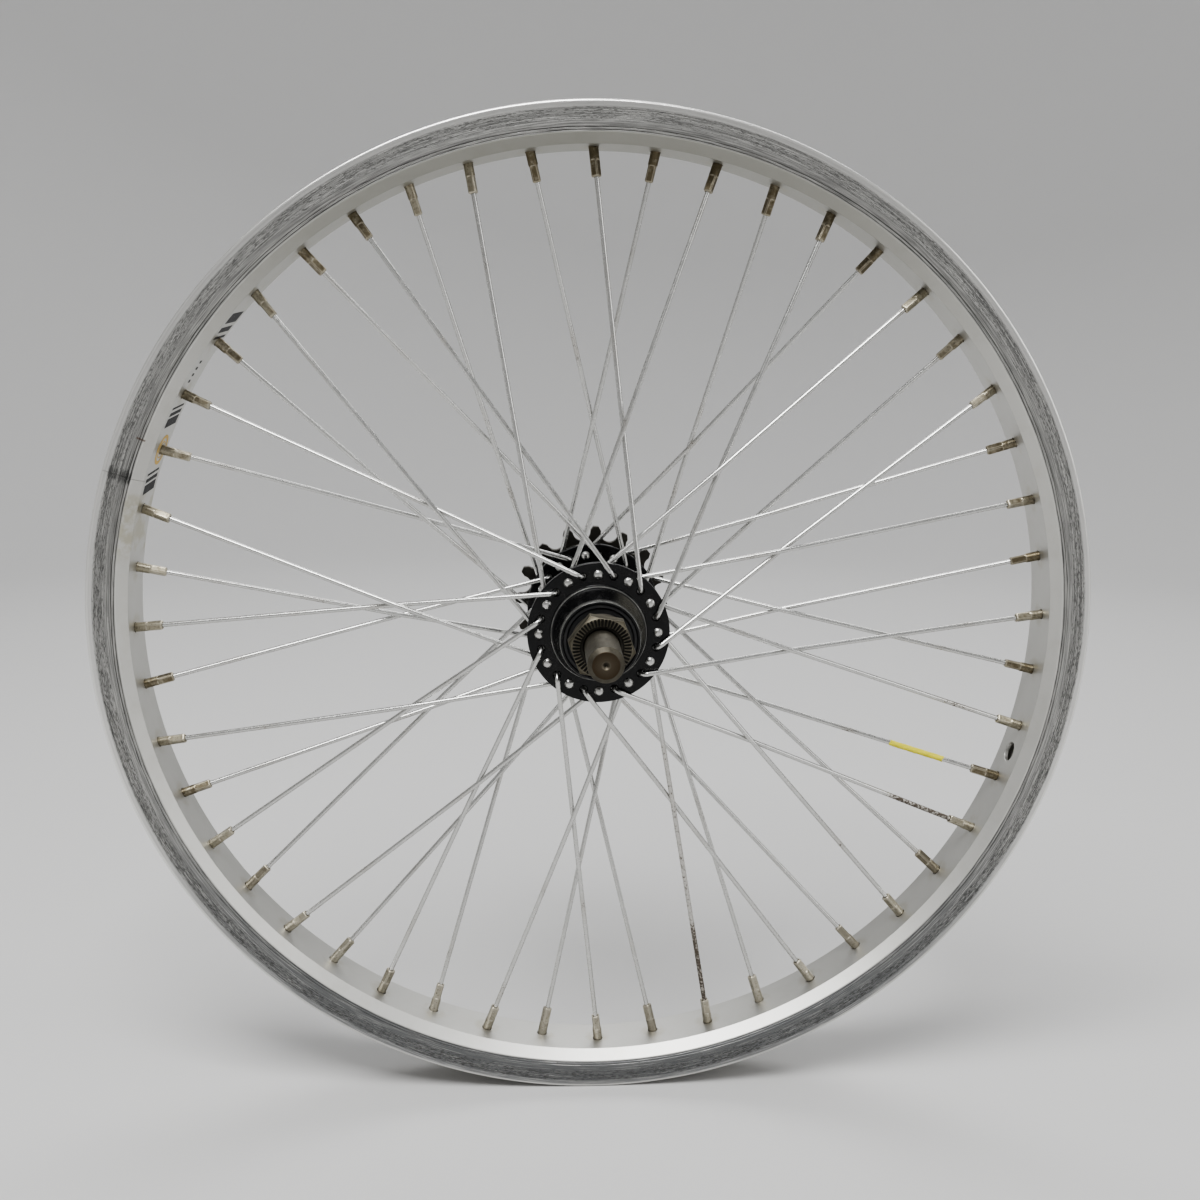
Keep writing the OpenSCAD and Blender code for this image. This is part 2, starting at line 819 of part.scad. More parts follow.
rim();
rim_joint_sleeve();
hub_shell();
axle();
spokes_left_outer();
spokes_left_inner();
spokes_right_outer();
spokes_right_inner();
nipples_left();
nipples_right();
spoke_tape();
left_outer_race();
left_inner_race();
left_balls();
left_cage();
left_bearing_shields();
right_outer_race();
right_inner_race();
right_balls();
right_cage();
right_bearing_shields();
left_dust_seal();
right_dust_seal();
left_spacer();
right_spacer();
left_locknut();
right_locknut();
freewheel_body();
freewheel_sprocket();
freewheel_cover();
freewheel_pawl_front();
freewheel_pawl_rear();
pawl_springs();
freewheel_balls_inboard();
freewheel_balls_outboard();
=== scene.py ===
"""Looks for the spoked wheel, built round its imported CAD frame.

Lengths are millimetres until a mesh is made, unless a name ends in _M. A station is a distance
outward from the wheel's plane. Angles turn from +X to +Z, as seen from the left side (-Y).
"""

import json
import math
import random

import bpy
from mathutils import Matrix, Vector


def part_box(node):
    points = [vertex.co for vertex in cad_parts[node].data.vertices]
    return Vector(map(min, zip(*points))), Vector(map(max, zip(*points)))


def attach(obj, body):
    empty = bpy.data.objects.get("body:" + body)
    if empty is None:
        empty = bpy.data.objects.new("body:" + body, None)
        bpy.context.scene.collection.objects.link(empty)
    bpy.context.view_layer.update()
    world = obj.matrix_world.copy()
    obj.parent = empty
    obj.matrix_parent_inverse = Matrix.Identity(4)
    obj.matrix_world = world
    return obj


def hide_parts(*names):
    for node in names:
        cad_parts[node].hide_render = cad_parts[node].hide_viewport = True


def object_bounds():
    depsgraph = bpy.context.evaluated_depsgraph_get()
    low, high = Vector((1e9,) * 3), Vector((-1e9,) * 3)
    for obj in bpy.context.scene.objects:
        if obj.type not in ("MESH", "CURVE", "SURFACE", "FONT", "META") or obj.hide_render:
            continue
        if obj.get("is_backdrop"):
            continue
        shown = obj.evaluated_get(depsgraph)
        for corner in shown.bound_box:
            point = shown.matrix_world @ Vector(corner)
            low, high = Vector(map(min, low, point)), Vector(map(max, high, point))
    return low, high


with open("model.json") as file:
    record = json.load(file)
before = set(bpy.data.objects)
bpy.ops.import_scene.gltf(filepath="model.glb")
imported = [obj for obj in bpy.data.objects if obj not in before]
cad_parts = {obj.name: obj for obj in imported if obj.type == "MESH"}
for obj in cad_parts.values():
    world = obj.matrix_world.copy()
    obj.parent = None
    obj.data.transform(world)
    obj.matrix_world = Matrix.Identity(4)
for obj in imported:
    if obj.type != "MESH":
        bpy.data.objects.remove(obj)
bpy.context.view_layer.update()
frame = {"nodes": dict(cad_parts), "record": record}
MM = 0.001


# ------------ sizes, from the frame

def reach(node, axis):
    """How far a CAD node reaches from the origin along an axis, in millimetres."""
    low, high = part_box(node)
    return max(high[axis], -low[axis]) / MM


MOUNTS = {m["name"]: m for m in frame["record"]["mounts"]}
VALVE = MOUNTS["valve_hole"]

LIP_R = round(reach("rim", 0) * 4) / 4
RIM_HALF = reach("rim", 1)
BED_R = LIP_R - 16.25
BED_HALF = 10.76
SHOULDER_R = BED_R + 3.9
SEAT_R = LIP_R - 6.75
WELL_R = SEAT_R - 2
SIDE_WALL = 2.2
SKIN = 1.7
BED_WALL = 1.8

SPOKES = 48
PITCH = 360 / SPOKES
HOLE_STEP = 2 * PITCH
CROSS = 6 * PITCH
VALVE_ANGLE = math.degrees(math.atan2(VALVE["axis"][2], VALVE["axis"][0]))
RIM_PHASE = VALVE_ANGLE - 44.5 * PITCH
SEAM_ANGLE = VALVE_ANGLE + 180

FLANGE_R = reach("hub_shell", 0)
HUB_END = reach("hub_shell", 1)
FLANGE_IN, FLANGE_OUT = 24, 27
HOLE_CIRCLE = 24.33
BOSS_R, BOSS_END_R = 19.6, 16.1
THREAD_R, THREAD_SHOULDER = 17.4, 31
SEAL_R = reach("left_dust_seal", 0)
AXLE_R = MOUNTS["axle_end_left"]["dims"]["r_mm"]
AXLE_END = reach("axle", 1)
NUT_CORNER = 13.5
NUT_TURN = -9.1
NUT_FACE = reach("left_locknut", 1)
SPACER_END = reach("left_spacer", 1)
BEARING_OUT = reach("left_outer_race", 1)

SPOKE_R = 1.0
ELBOW_R = 2.5
STAGGER = 1.5
LACE_Y, LACE_GAP = 16.8, 2.2
NIPPLE_SHOW = 12
NIPPLE_SEAT = 2.5

# A spoke family: first rim hole, direction round the hub, elbow outside or inside, side
FAMILIES = {
    "left_outer": (3, 1, 1, 1),
    "left_inner": (1, -1, -1, 1),
    "right_outer": (2, -1, 1, -1),
    "right_inner": (0, 1, -1, -1),
}
PER_FAMILY = SPOKES // 4

ON_LEFT = Matrix.Rotation(math.radians(90), 4, "X")
ON_RIGHT = ON_LEFT @ Matrix.Rotation(math.radians(180), 4, "X")


# ------------ meshes

class Solids:
    """Collects closed solids, in millimetres, with a named number for each vertex."""

    def __init__(self):
        self.verts = []
        self.faces = []
        self.marks = {}

    def add(self, verts, faces, matrix=Matrix.Identity(4), **marks):
        """Adds one solid. A mark is one number for the solid or a list with one for each vertex."""
        start = len(self.verts)
        self.verts += [matrix @ Vector(v) for v in verts]
        self.faces += [[start + i for i in face] for face in faces]
        for name, value in marks.items():
            column = self.marks.setdefault(name, [0.0] * start)
            column += [0.0] * (start - len(column))
            column += list(value) if isinstance(value, list) else [value] * len(verts)

    def make(self, name):
        mesh = bpy.data.meshes.new(name)
        mesh.from_pydata([v * MM for v in self.verts], [], self.faces)
        for mark, column in self.marks.items():
            column += [0.0] * (len(self.verts) - len(column))
            layer = mesh.attributes.new(mark, "FLOAT", "POINT")
            layer.data.foreach_set("value", column)
        mesh.update()
        piece = bpy.data.objects.new(name, mesh)
        bpy.context.scene.collection.objects.link(piece)
        return piece


def signed_area(points):
    """Area of a closed outline, positive when it runs anticlockwise."""
    total = 0
    for (x0, y0), (x1, y1) in zip(points, points[1:] + points[:1]):
        total += x0 * y1 - x1 * y0
    return total / 2


def at_angle(outline, angle):
    return [p(angle) if callable(p) else p for p in outline]


def revolve(outline, segments, inward=False):
    """Turns a closed outline of (radius, height) round Z. A point may be a function of the angle.

    A point on the axis becomes one vertex. The walls face out of the outline, or into it."""
    angles = [2 * math.pi * i / segments for i in range(segments)]
    first = at_angle(outline, 0.0)
    if (signed_area(first) > 0) == inward:
        outline = outline[::-1]
        first = first[::-1]
    on_axis = [p[0] < 1e-6 for p in first]
    verts, rings = [], []
    for place, point in enumerate(outline):
        if on_axis[place]:
            rings.append([len(verts)] * segments)
            verts.append((0, 0, first[place][1]))
            continue
        rings.append(list(range(len(verts), len(verts) + segments)))
        for a in angles:
            r, z = point(a) if callable(point) else point
            verts.append((r * math.cos(a), r * math.sin(a), z))
    faces = []
    for place in range(len(outline)):
        here, after = rings[place], rings[(place + 1) % len(outline)]
        if on_axis[place] and on_axis[(place + 1) % len(outline)]:
            continue
        for i in range(segments):
            j = (i + 1) % segments
            corners = [here[i], here[j], after[j], after[i]]
            faces.append(list(dict.fromkeys(corners)))
    return verts, faces


def rounded(corners, steps=4, support=0.25):
    """Rounds a closed outline. A corner is (x, y) or (x, y, radius).

    Each rounding gets a support point on both sides, so that smooth shading stays flat."""
    points = []
    count = len(corners)
    for i, corner in enumerate(corners):
        here = Vector(corner[:2])
        radius = corner[2] if len(corner) > 2 else 0
        if not radius:
            points.append(tuple(here))
            continue
        to_before = Vector(corners[i - 1][:2]) - here
        to_after = Vector(corners[(i + 1) % count][:2]) - here
        half = to_before.angle(to_after) / 2
        cut = min(radius / math.tan(half), 0.45 * min(to_before.length, to_after.length))
        radius = cut * math.tan(half)
        before, after = to_before.normalized(), to_after.normalized()
        centre = here + (before + after).normalized() * (radius / math.sin(half))
        start, end = here + before * cut - centre, here + after * cut - centre
        turn = start.angle_signed(end)
        if to_before.length > 2 * (cut + support):
            points.append(tuple(here + before * (cut + support)))
        for step in range(steps + 1):
            angle = -turn * step / steps
            spun = Matrix.Rotation(angle, 2) @ start
            points.append(tuple(centre + spun))
        if to_after.length > 2 * (cut + support):
            points.append(tuple(here + after * (cut + support)))
    return points


def mirrored(half):
    """Closes a symmetric outline from its half at positive height."""
    return half + [(p[0], -p[1], *p[2:]) for p in reversed(half)]


def tube(points, radius, sides):
    """Sweeps a circle along points in the XZ plane. Returns vertices and faces, capped."""
    across = Vector((0, 1, 0))
    verts, faces = [], []
    last = len(points) - 1
    for i, point in enumerate(points):
        here = Vector(point)
        ahead = Vector(points[min(i + 1, last)]) - Vector(points[max(i - 1, 0)])
        normal = across.cross(ahead.normalized())
        size = radius(i) if callable(radius) else radius
        for k in range(sides):
            a = 2 * math.pi * k / sides
            verts.append(here + (normal * math.cos(a) + across * math.sin(a)) * size)
    for i in range(last):
        for k in range(sides):
            j = (k + 1) % sides
            faces.append([i * sides + k, (i + 1) * sides + k, (i + 1) * sides + j, i * sides + j])
    faces.append(list(range(sides)))
    faces.append([last * sides + k for k in reversed(range(sides))])
    return verts, faces


def box(low, high):
    """A box between two corners."""
    xs, ys, zs = zip(low, high)
    verts = [(x, y, z) for x in xs for y in ys for z in zs]
    faces = [[0, 1, 3, 2], [4, 6, 7, 5], [0, 4, 5, 1], [2, 3, 7, 6], [0, 2, 6, 4], [1, 5, 7, 3]]
    return verts, faces


def settle(piece):
    """Replaces a piece's mesh by the result of its modifiers."""
    graph = bpy.context.evaluated_depsgraph_get()
    done = bpy.data.meshes.new_from_object(piece.evaluated_get(graph))
    piece.modifiers.clear()
    piece.data = done


def drill(piece, cutter):
    """Cuts the cutter's solids out of a piece."""
    cut = piece.modifiers.new("drill", "BOOLEAN")
    cut.operation = "DIFFERENCE"
    cut.solver = "MANIFOLD"
    cut.object = cutter
    settle(piece)
    bpy.data.objects.remove(cutter)


def mark_edges(mesh, soft=12, hard=40):
    """Writes the attribute edge: 1 where the mesh bends sharply outward, 0 where it is flat."""
    sharpest = [0.0] * len(mesh.vertices)
    seen = {}
    for face in mesh.polygons:
        for key in face.edge_keys:
            other = seen.setdefault(key, face)
            if other is face:
                continue
            bend = math.degrees(face.normal.angle(other.normal, 0.0))
            outward = (other.center - face.center).dot(face.normal) < 0
            if outward and bend > soft:
                share = min((bend - soft) / (hard - soft), 1.0)
                for v in key:
                    sharpest[v] = max(sharpest[v], share)
    layer = mesh.attributes.new("edge", "FLOAT", "POINT")
    layer.data.foreach_set("value", sharpest)


def dress(piece, material, body, nodes=(), sharp=35, edges=True):
    """Shades a piece, gives it its material, and rides it on its body in place of CAD nodes."""
    mesh = piece.data
    mesh.polygons.foreach_set("use_smooth", [True] * len(mesh.polygons))
    mesh.set_sharp_from_angle(angle=math.radians(sharp))
    if edges:
        mark_edges(mesh)
    weighted = piece.modifiers.new("weighted", "WEIGHTED_NORMAL")
    weighted.keep_sharp = True
    mesh.materials.clear()
    mesh.materials.append(material)
    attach(piece, body)
    if nodes:
        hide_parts(*nodes)
    return piece


# ------------ shaders

class Shader:
    """A Principled material, with short calls for the nodes that feed it."""

    def __init__(self, name):
        self.material = bpy.data.materials.new(name)
        self.material.use_nodes = True
        self.tree = self.material.node_tree
        self.surface = self.tree.nodes["Principled BSDF"]

    def node(self, kind, **settings):
        made = self.tree.nodes.new("ShaderNode" + kind)
        for key, value in settings.items():
            setattr(made, key, value)
        return made

    def feed(self, socket, value):
        if isinstance(value, bpy.types.NodeSocket):
            self.tree.links.new(value, socket)
        elif value is not None:
            socket.default_value = value

    def set(self, **values):
        for key, value in values.items():
            self.feed(self.surface.inputs[key.replace("_", " ")], value)

    def place(self):
        return self.node("TexCoord").outputs["Object"]

    def split(self, vector):
        made = self.node("SeparateXYZ")
        self.feed(made.inputs[0], vector)
        return made.outputs

    def join(self, x, y, z):
        made = self.node("CombineXYZ")
        for socket, value in zip(made.inputs, (x, y, z)):
            self.feed(socket, value)
        return made.outputs[0]

    def math(self, operation, a, b=None, c=None):
        made = self.node("Math", operation=operation)
        for socket, value in zip(made.inputs, (a, b, c)):
            self.feed(socket, value)
        return made.outputs[0]

    def times(self, a, b):
        return self.math("MULTIPLY", a, b)

    def plus(self, a, b):
        return self.math("ADD", a, b)

    def band(self, value, low, high, soft):
        """1 between low and high, falling to 0 over soft on both sides."""
        rise = self.step(value, low - soft, low)
        fall = self.step(value, high, high + soft)
        return self.math("SUBTRACT", rise, fall)

    def step(self, value, low, high, bottom=0.0, top=1.0):
        made = self.node("MapRange", interpolation_type="SMOOTHSTEP")
        for socket, number in zip(made.inputs, (value, low, high, bottom, top)):
            self.feed(socket, number)
        return made.outputs[0]

    def noise(self, vector, scale, detail=4.0, rough=0.55, warp=0.0):
        made = self.node("TexNoise")
        self.feed(made.inputs["Vector"], vector)
        settings = {"Scale": scale, "Detail": detail, "Roughness": rough, "Distortion": warp}
        for key, value in settings.items():
            self.feed(made.inputs[key], value)
        return made.outputs[0]

    def mark(self, name):
        return self.node("Attribute", attribute_name=name).outputs["Fac"]

    def mix(self, share, a, b):
        """Mixes two colours, or two numbers."""
        colour = any(isinstance(v, (tuple, list)) or getattr(v, "type", "") == "RGBA" for v in (a, b))
        made = self.node("Mix", data_type="RGBA" if colour else "FLOAT")
        sockets = [s for s in made.inputs if s.enabled and s.name in ("Factor", "A", "B")]
        for socket, value in zip(sockets, (share, a, b)):
            self.feed(socket, (*value, 1) if isinstance(value, (tuple, list)) else value)
        return next(s for s in made.outputs if s.enabled)

    def bump(self, height, distance_mm, strength=1.0, normal=None):
        made = self.node("Bump")
        self.feed(made.inputs["Height"], height)
        self.feed(made.inputs["Distance"], distance_mm * MM)
        self.feed(made.inputs["Strength"], strength)
        if normal is not None:
            self.feed(made.inputs["Normal"], normal)
        return made.outputs[0]

    def polar(self):
        """Radius in millimetres, angle in degrees and height along Y in millimetres."""
        x, y, z = self.split(self.place())
        square = self.plus(self.times(x, x), self.times(z, z))
        radius = self.math("DIVIDE", self.math("SQRT", square), MM)
        angle = self.times(self.math("ARCTAN2", z, x), 180 / math.pi)
        return radius, angle, self.math("DIVIDE", y, MM)


def streaked(s, around, across_m, seed=0.0):
    """Coordinates of a texture that runs round the wheel.

    There are this many cells to the turn, each across_m wide."""
    x, y, z = s.split(s.place())
    angle = s.math("ARCTAN2", z, x)
    radius = s.math("SQRT", s.plus(s.times(x, x), s.times(z, z)))
    across = s.plus(s.math("DIVIDE", radius, across_m), seed)
    level = s.math("DIVIDE", y, across_m)
    size = around / (2 * math.pi)
    cos = s.times(s.math("COSINE", angle), size)
    sin = s.times(s.math("SINE", angle), size)
    return s.join(cos, s.plus(across, level), sin)


def rim_material():
    """Satin aluminium. The brake track is scratched round and round, pitted, and painted darker low down
    as shade.
    """
    s = Shader("rim_aluminium")
    radius, angle, level = s.polar()
    depth = s.math("ABSOLUTE", level)
    out = s.math("SUBTRACT", radius, SHOULDER_R)
    low_down = s.step(s.split(s.place())[2], -0.05, -0.18)
    track = s.times(s.step(depth, RIM_HALF - 0.6, RIM_HALF - 0.3), s.step(out, 0.1, 0.5))
    bed = s.step(depth, BED_HALF + 0.2, BED_HALF - 0.1)
    lip = s.times(s.step(out, 9.0, 10.0), track)
    lip_edge = s.step(radius, LIP_R - 1.5, LIP_R - 0.8)
    clear_of_lip = s.math("SUBTRACT", track, s.times(lip, 0.85))

    long_lines = s.noise(streaked(s, 14, 0.0003, 3.0), 1.0, 2.0, 0.5)
    fine = s.noise(streaked(s, 110, 0.00022), 1.0, 3.0, 0.6)
    cluster = s.noise(streaked(s, 120, 0.0013, 11.0), 1.0, 3.0, 0.6)
    pits = s.noise(streaked(s, 640, 0.0003, 7.0), 1.0, 3.0, 0.65)
    patch = s.noise(s.place(), 22.0, 4.0, 0.6)
    cloud = s.noise(s.place(), 90.0, 5.0, 0.65)
    grain = s.noise(s.place(), 900.0, 3.0, 0.6)

    pit_level = s.plus(pits, s.times(s.band(out, 5.6, 8.8, 2.2), 0.17))
    pit_level = s.plus(pit_level, s.times(cluster, 0.35))
    dirt = s.times(s.step(pit_level, 0.80, 0.96), clear_of_lip)
    film = s.times(s.step(long_lines, 0.46, 0.60), s.band(out, 2.2, 9.0, 1.0))
    film = s.times(film, s.times(track, 0.65))
    # painted shade: the brake track is darkened towards the bottom of the wheel, as if the light came from
    # above
    shade = s.times(low_down, s.mix(s.step(fine, 0.5, 0.65), 0.8, 0.45))
    shade = s.times(shade, s.math("SUBTRACT", track, s.times(lip_edge, 0.6)))
    grooves = s.plus(s.band(out, 0.75, 0.85, 0.12), s.band(out, 1.85, 1.95, 0.12))

    by_seam = s.times(s.band(angle, SEAM_ANGLE - 0.25, SEAM_ANGLE + 0.25, 2.0), 0.5)
    smear = s.step(s.plus(s.times(s.plus(cluster, pits), 0.45), by_seam), 0.80, 1.02)
    smear = s.times(smear, s.times(clear_of_lip, 0.85))
    tick_angle = SEAM_ANGLE - 4.8
    tick = s.times(s.band(angle, tick_angle - 0.05, tick_angle + 0.05, 0.12), s.band(out, -0.3, 3.0, 0.3))
    stain = s.times(s.band(angle, SEAM_ANGLE + 3.0, SEAM_ANGLE + 8.0, 2.5), s.step(cloud, 0.42, 0.60))
    off_hole = s.math("WRAP", s.math("SUBTRACT", angle, RIM_PHASE), PITCH / 2, -PITCH / 2)
    arc = s.times(off_hole, BED_R * math.pi / 180)
    from_hole = s.plus(s.times(arc, arc), s.times(level, level))
    halo = s.times(s.times(s.step(from_hole, 45, 12), bed), s.step(cloud, 0.4, 0.6))

    base = s.mix(patch, (0.60, 0.595, 0.57), (0.70, 0.695, 0.665))
    base = s.mix(s.times(s.step(cloud, 0.45, 0.7), 0.2), base, (0.50, 0.49, 0.43))
    base = s.mix(s.times(bed, 0.45), base, (0.50, 0.50, 0.48))
    # painted shade: the bed and chamfers are darkened high on the wheel, where they face down, away from
    # the light
    high_up = s.times(s.step(s.split(s.place())[2], 0.09, 0.19), s.math("SUBTRACT", 1.0, track))
    base = s.mix(s.times(high_up, 0.6), base, (0.27, 0.265, 0.225))
    base = s.mix(s.times(halo, 0.35), base, (0.42, 0.39, 0.30))
    base = s.mix(s.times(stain, 0.5), base, (0.42, 0.385, 0.26))
    worn = s.mix(s.step(fine, 0.32, 0.68), (0.17, 0.17, 0.167), (0.56, 0.555, 0.535))
    base = s.mix(s.times(track, 0.9), base, worn)
    base = s.mix(film, base, (0.15, 0.15, 0.147))
    # painted highlight: the band of the track next to the lip is lightened
    base = s.mix(s.times(lip, 0.7), base, (0.80, 0.795, 0.775))
    base = s.mix(shade, base, (0.13, 0.135, 0.14))
    base = s.mix(s.times(dirt, 0.85), base, (0.055, 0.055, 0.052))
    base = s.mix(s.times(s.times(grooves, track), 0.7), base, (0.07, 0.07, 0.066))
    base = s.mix(smear, base, (0.05, 0.05, 0.048))
    base = s.mix(s.times(tick, 0.7), base, (0.11, 0.06, 0.04))
    # painted highlight: the lip edge is lightened almost to white, more weakly low down on the wheel
    base = s.mix(s.times(lip_edge, s.mix(low_down, 0.8, 0.4)), base, (0.86, 0.855, 0.83))

    rough = s.mix(track, 0.44, s.mix(fine, 0.30, 0.5))
    rough = s.mix(lip, rough, 0.30)
    rough = s.mix(dirt, rough, 0.8)
    metal = s.math("SUBTRACT", 0.95, s.times(dirt, 0.7))
    cut = s.mix(track, s.times(grain, 0.25), s.math("SUBTRACT", fine, s.times(dirt, 0.8)))
    s.set(Base_Color=base, Roughness=rough, Metallic=metal, Normal=s.bump(cut, 0.05, 0.9))
    return s.material


def spoke_material():
    """Drawn steel with faint lines and specks, and brown speckled rust where the mark says so."""
    s = Shader("spoke_steel")
    place = s.place()
    mottle = s.noise(place, 260.0, 4.0, 0.6)
    speckle = s.noise(place, 900.0, 3.0, 0.65)
    fine = s.noise(place, 2400.0, 2.0, 0.5)
    rust_mark = s.mark("rust")
    rust_level = s.plus(rust_mark, s.times(s.math("SUBTRACT", speckle, 0.5), 1.8))
    rust = s.times(s.step(rust_level, 0.35, 0.65), s.step(rust_mark, 0.02, 0.2))
    speck = s.times(s.step(s.noise(place, 700.0, 2.0, 0.5), 0.72, 0.78), 0.35)
    base = s.mix(mottle, (0.56, 0.56, 0.545), (0.68, 0.68, 0.665))
    base = s.mix(speck, base, (0.34, 0.31, 0.26))
    base = s.mix(s.times(rust_mark, 0.7), base, (0.30, 0.25, 0.18))
    base = s.mix(rust, base, s.mix(speckle, (0.035, 0.028, 0.022), (0.13, 0.105, 0.08)))
    s.set(Base_Color=base, Metallic=s.math("SUBTRACT", 1.0, s.times(rust, 0.8)),
          Roughness=s.mix(rust, s.mix(mottle, 0.2, 0.34), 0.75),
          Normal=s.bump(s.plus(fine, s.times(rust, 3.0)), 0.004, 0.5))
    return s.material


def nipple_material():
    """Nickel-plated brass, tarnished, each nipple a little different."""
    s = Shader("nipple_brass")
    place = s.place()
    own = s.mark("tint")
    cloud = s.noise(place, 420.0, 4.0, 0.65)
    spot = s.step(s.noise(place, 1300.0, 3.0, 0.6), 0.55, 0.68)
    tarnish = s.step(s.plus(cloud, s.times(own, 0.35)), 0.45, 0.85)
    # painted light: nipples low on the wheel are lightened, as if lit from above
    low_down = s.step(s.split(place)[2], -0.06, -0.17)
    base = s.mix(tarnish, (0.37, 0.34, 0.265), (0.15, 0.125, 0.08))
    base = s.mix(s.times(low_down, 0.45), base, (0.50, 0.48, 0.42))
    base = s.mix(s.times(spot, 0.6), base, (0.07, 0.06, 0.042))
    base = s.mix(s.times(s.mark("edge"), 0.6), base, (0.62, 0.58, 0.48))
    s.set(Base_Color=base, Metallic=0.9, Roughness=s.mix(cloud, 0.26, 0.5),
          Normal=s.bump(s.plus(cloud, spot), 0.03, 0.7))
    return s.material


def hub_material():
    """Gloss black on aluminium, scratched round the axle, bare along its edges."""
    s = Shader("hub_black")
    place = s.place()
    swirl = s.noise(streaked(s, 60, 0.0004), 1.0, 3.0, 0.6)
    dust = s.noise(place, 160.0, 5.0, 0.65)
    chips = s.noise(place, 800.0, 3.0, 0.6)
    radius, angle, level = s.polar()
    holes = s.band(radius, HOLE_CIRCLE - 2.6, HOLE_CIRCLE + 2.6, 0.6)
    edge = s.times(s.mark("edge"), s.step(holes, 0.0, 1.0, 0.62, 0.2))
    bare = s.step(s.plus(edge, s.times(chips, 0.7)), 0.72, 0.86)
    film = s.times(s.step(dust, 0.5, 0.8), 0.4)
    base = s.mix(film, (0.0045, 0.0045, 0.005), (0.022, 0.021, 0.019))
    base = s.mix(s.times(bare, 0.8), base, (0.40, 0.40, 0.39))
    depth = s.math("ABSOLUTE", level)
    # painted highlights: thin light rings at the boss's base and at its end, where small edges catch the
    # light
    rings = s.plus(s.band(radius, BOSS_R - 0.25, BOSS_R + 0.1, 0.15),
                   s.band(radius, BOSS_END_R - 0.1, BOSS_END_R + 0.25, 0.15))
    rings = s.times(rings, s.step(depth, FLANGE_OUT + 0.4, FLANGE_OUT + 0.8))
    rings = s.times(rings, s.step(dust, 0.35, 0.6, 0.25, 0.75))
    base = s.mix(rings, base, (0.30, 0.30, 0.285))
    boss = s.band(depth, FLANGE_OUT + 2.0, HUB_END - 1.5, 0.4)
    sheen = s.times(boss, s.band(angle, 0, 50, 25))
    base = s.mix(s.times(sheen, 0.7), base, (0.075, 0.072, 0.06))
    rough = s.plus(s.mix(swirl, 0.16, 0.32), s.times(film, 0.35))
    s.set(Base_Color=base, Metallic=s.math("MAXIMUM", bare, rings), Roughness=rough,
          Specular_IOR_Level=0.32, Normal=s.bump(swirl, 0.012, 0.5))
    return s.material


def worn_steel_material(name, dark, light, brown):
    """Oxidised steel, dark in its valleys and brighter where it rubs. The mark brown shows bare rust."""
    s = Shader(name)
    place = s.place()
    turned = s.noise(streaked(s, 26, 0.00035), 1.0, 3.0, 0.6)
    cloud = s.noise(place, 230.0, 5.0, 0.65)
    grit = s.noise(place, 1500.0, 3.0, 0.6)
    speck = s.step(grit, 0.56, 0.68)
    base = s.mix(s.step(cloud, 0.3, 0.7), dark, light)
    base = s.mix(s.times(turned, 0.45), base, brown)
    base = s.mix(s.times(s.mark("brown"), s.step(cloud, 0.1, 0.6, 0.55, 0.95)), base, brown)
    base = s.mix(s.times(speck, 0.25), base, (0.05, 0.042, 0.03))
    base = s.mix(s.times(s.mark("edge"), 0.45), base, (0.27, 0.25, 0.20))
    # the mark dirt darkens: grime between the nut's teeth and on the spacer, painted shadow in the nut's
    # recessed bore
    base = s.mix(s.mark("dirt"), base, (0.014, 0.012, 0.009))
    s.set(Base_Color=base, Metallic=s.math("SUBTRACT", 0.8, s.times(s.mark("dirt"), 0.6)),
          Roughness=s.mix(cloud, 0.38, 0.6),
          Normal=s.bump(s.plus(turned, grit), 0.035, 0.8))
    return s.material


def freewheel_material():
    """Dark phosphated steel with an oily film."""
    s = Shader("freewheel_steel")
    place = s.place()
    cloud = s.noise(place, 150.0, 5.0, 0.65)
    turned = s.noise(streaked(s, 30, 0.0004), 1.0, 3.0, 0.6)
    bevel = s.node("Bevel", samples=4)
    bevel.inputs["Radius"].default_value = 0.3 * MM
    rub_and_glint = s.node("VectorMath", operation="DOT_PRODUCT")
    s.feed(rub_and_glint.inputs[0], bevel.outputs[0])
    s.feed(rub_and_glint.inputs[1], s.node("NewGeometry").outputs["Normal"])
    # worn steel and painted highlight: edges found by the bevel are lightened
    edge = s.step(rub_and_glint.outputs["Value"], 0.99, 0.8)
    base = s.mix(cloud, (0.020, 0.019, 0.016), (0.065, 0.061, 0.053))
    base = s.mix(s.times(edge, 0.8), base, (0.50, 0.48, 0.44))
    s.set(Base_Color=base, Metallic=0.85, Roughness=s.mix(cloud, 0.3, 0.5),
          Normal=s.bump(turned, 0.02, 0.6, bevel.outputs[0]))
    return s.material


def bearing_material():
    """Polished bearing steel with fine grinding lines."""
    s = Shader("bearing_steel")
    lines = s.noise(streaked(s, 50, 0.0002), 1.0, 3.0, 0.6)
    haze = s.noise(s.place(), 300.0, 3.0, 0.5)
    s.set(Base_Color=s.mix(haze, (0.60, 0.60, 0.61), (0.74, 0.74, 0.74)), Metallic=1.0,
          Roughness=s.mix(lines, 0.12, 0.28), Normal=s.bump(lines, 0.01, 0.4))
    return s.material


def cage_material():
    """Pressed brass ball retainer."""
    s = Shader("cage_brass")
    haze = s.noise(s.place(), 500.0, 4.0, 0.6)
    s.set(Base_Color=s.mix(haze, (0.42, 0.29, 0.11), (0.60, 0.44, 0.20)), Metallic=1.0,
          Roughness=s.mix(haze, 0.3, 0.5), Normal=s.bump(haze, 0.02, 0.5))
    return s.material


def rubber_material():
    """Matte black rubber with a little dust in it."""
    s = Shader("black_rubber")
    grain = s.noise(s.place(), 1400.0, 4.0, 0.7)
    dust = s.step(s.noise(s.place(), 220.0, 4.0, 0.6), 0.5, 0.8)
    s.set(Base_Color=s.mix(s.times(dust, 0.6), (0.010, 0.010, 0.011), (0.045, 0.042, 0.038)),
          Roughness=s.mix(dust, 0.5, 0.75), Normal=s.bump(grain, 0.03, 0.5))
    return s.material


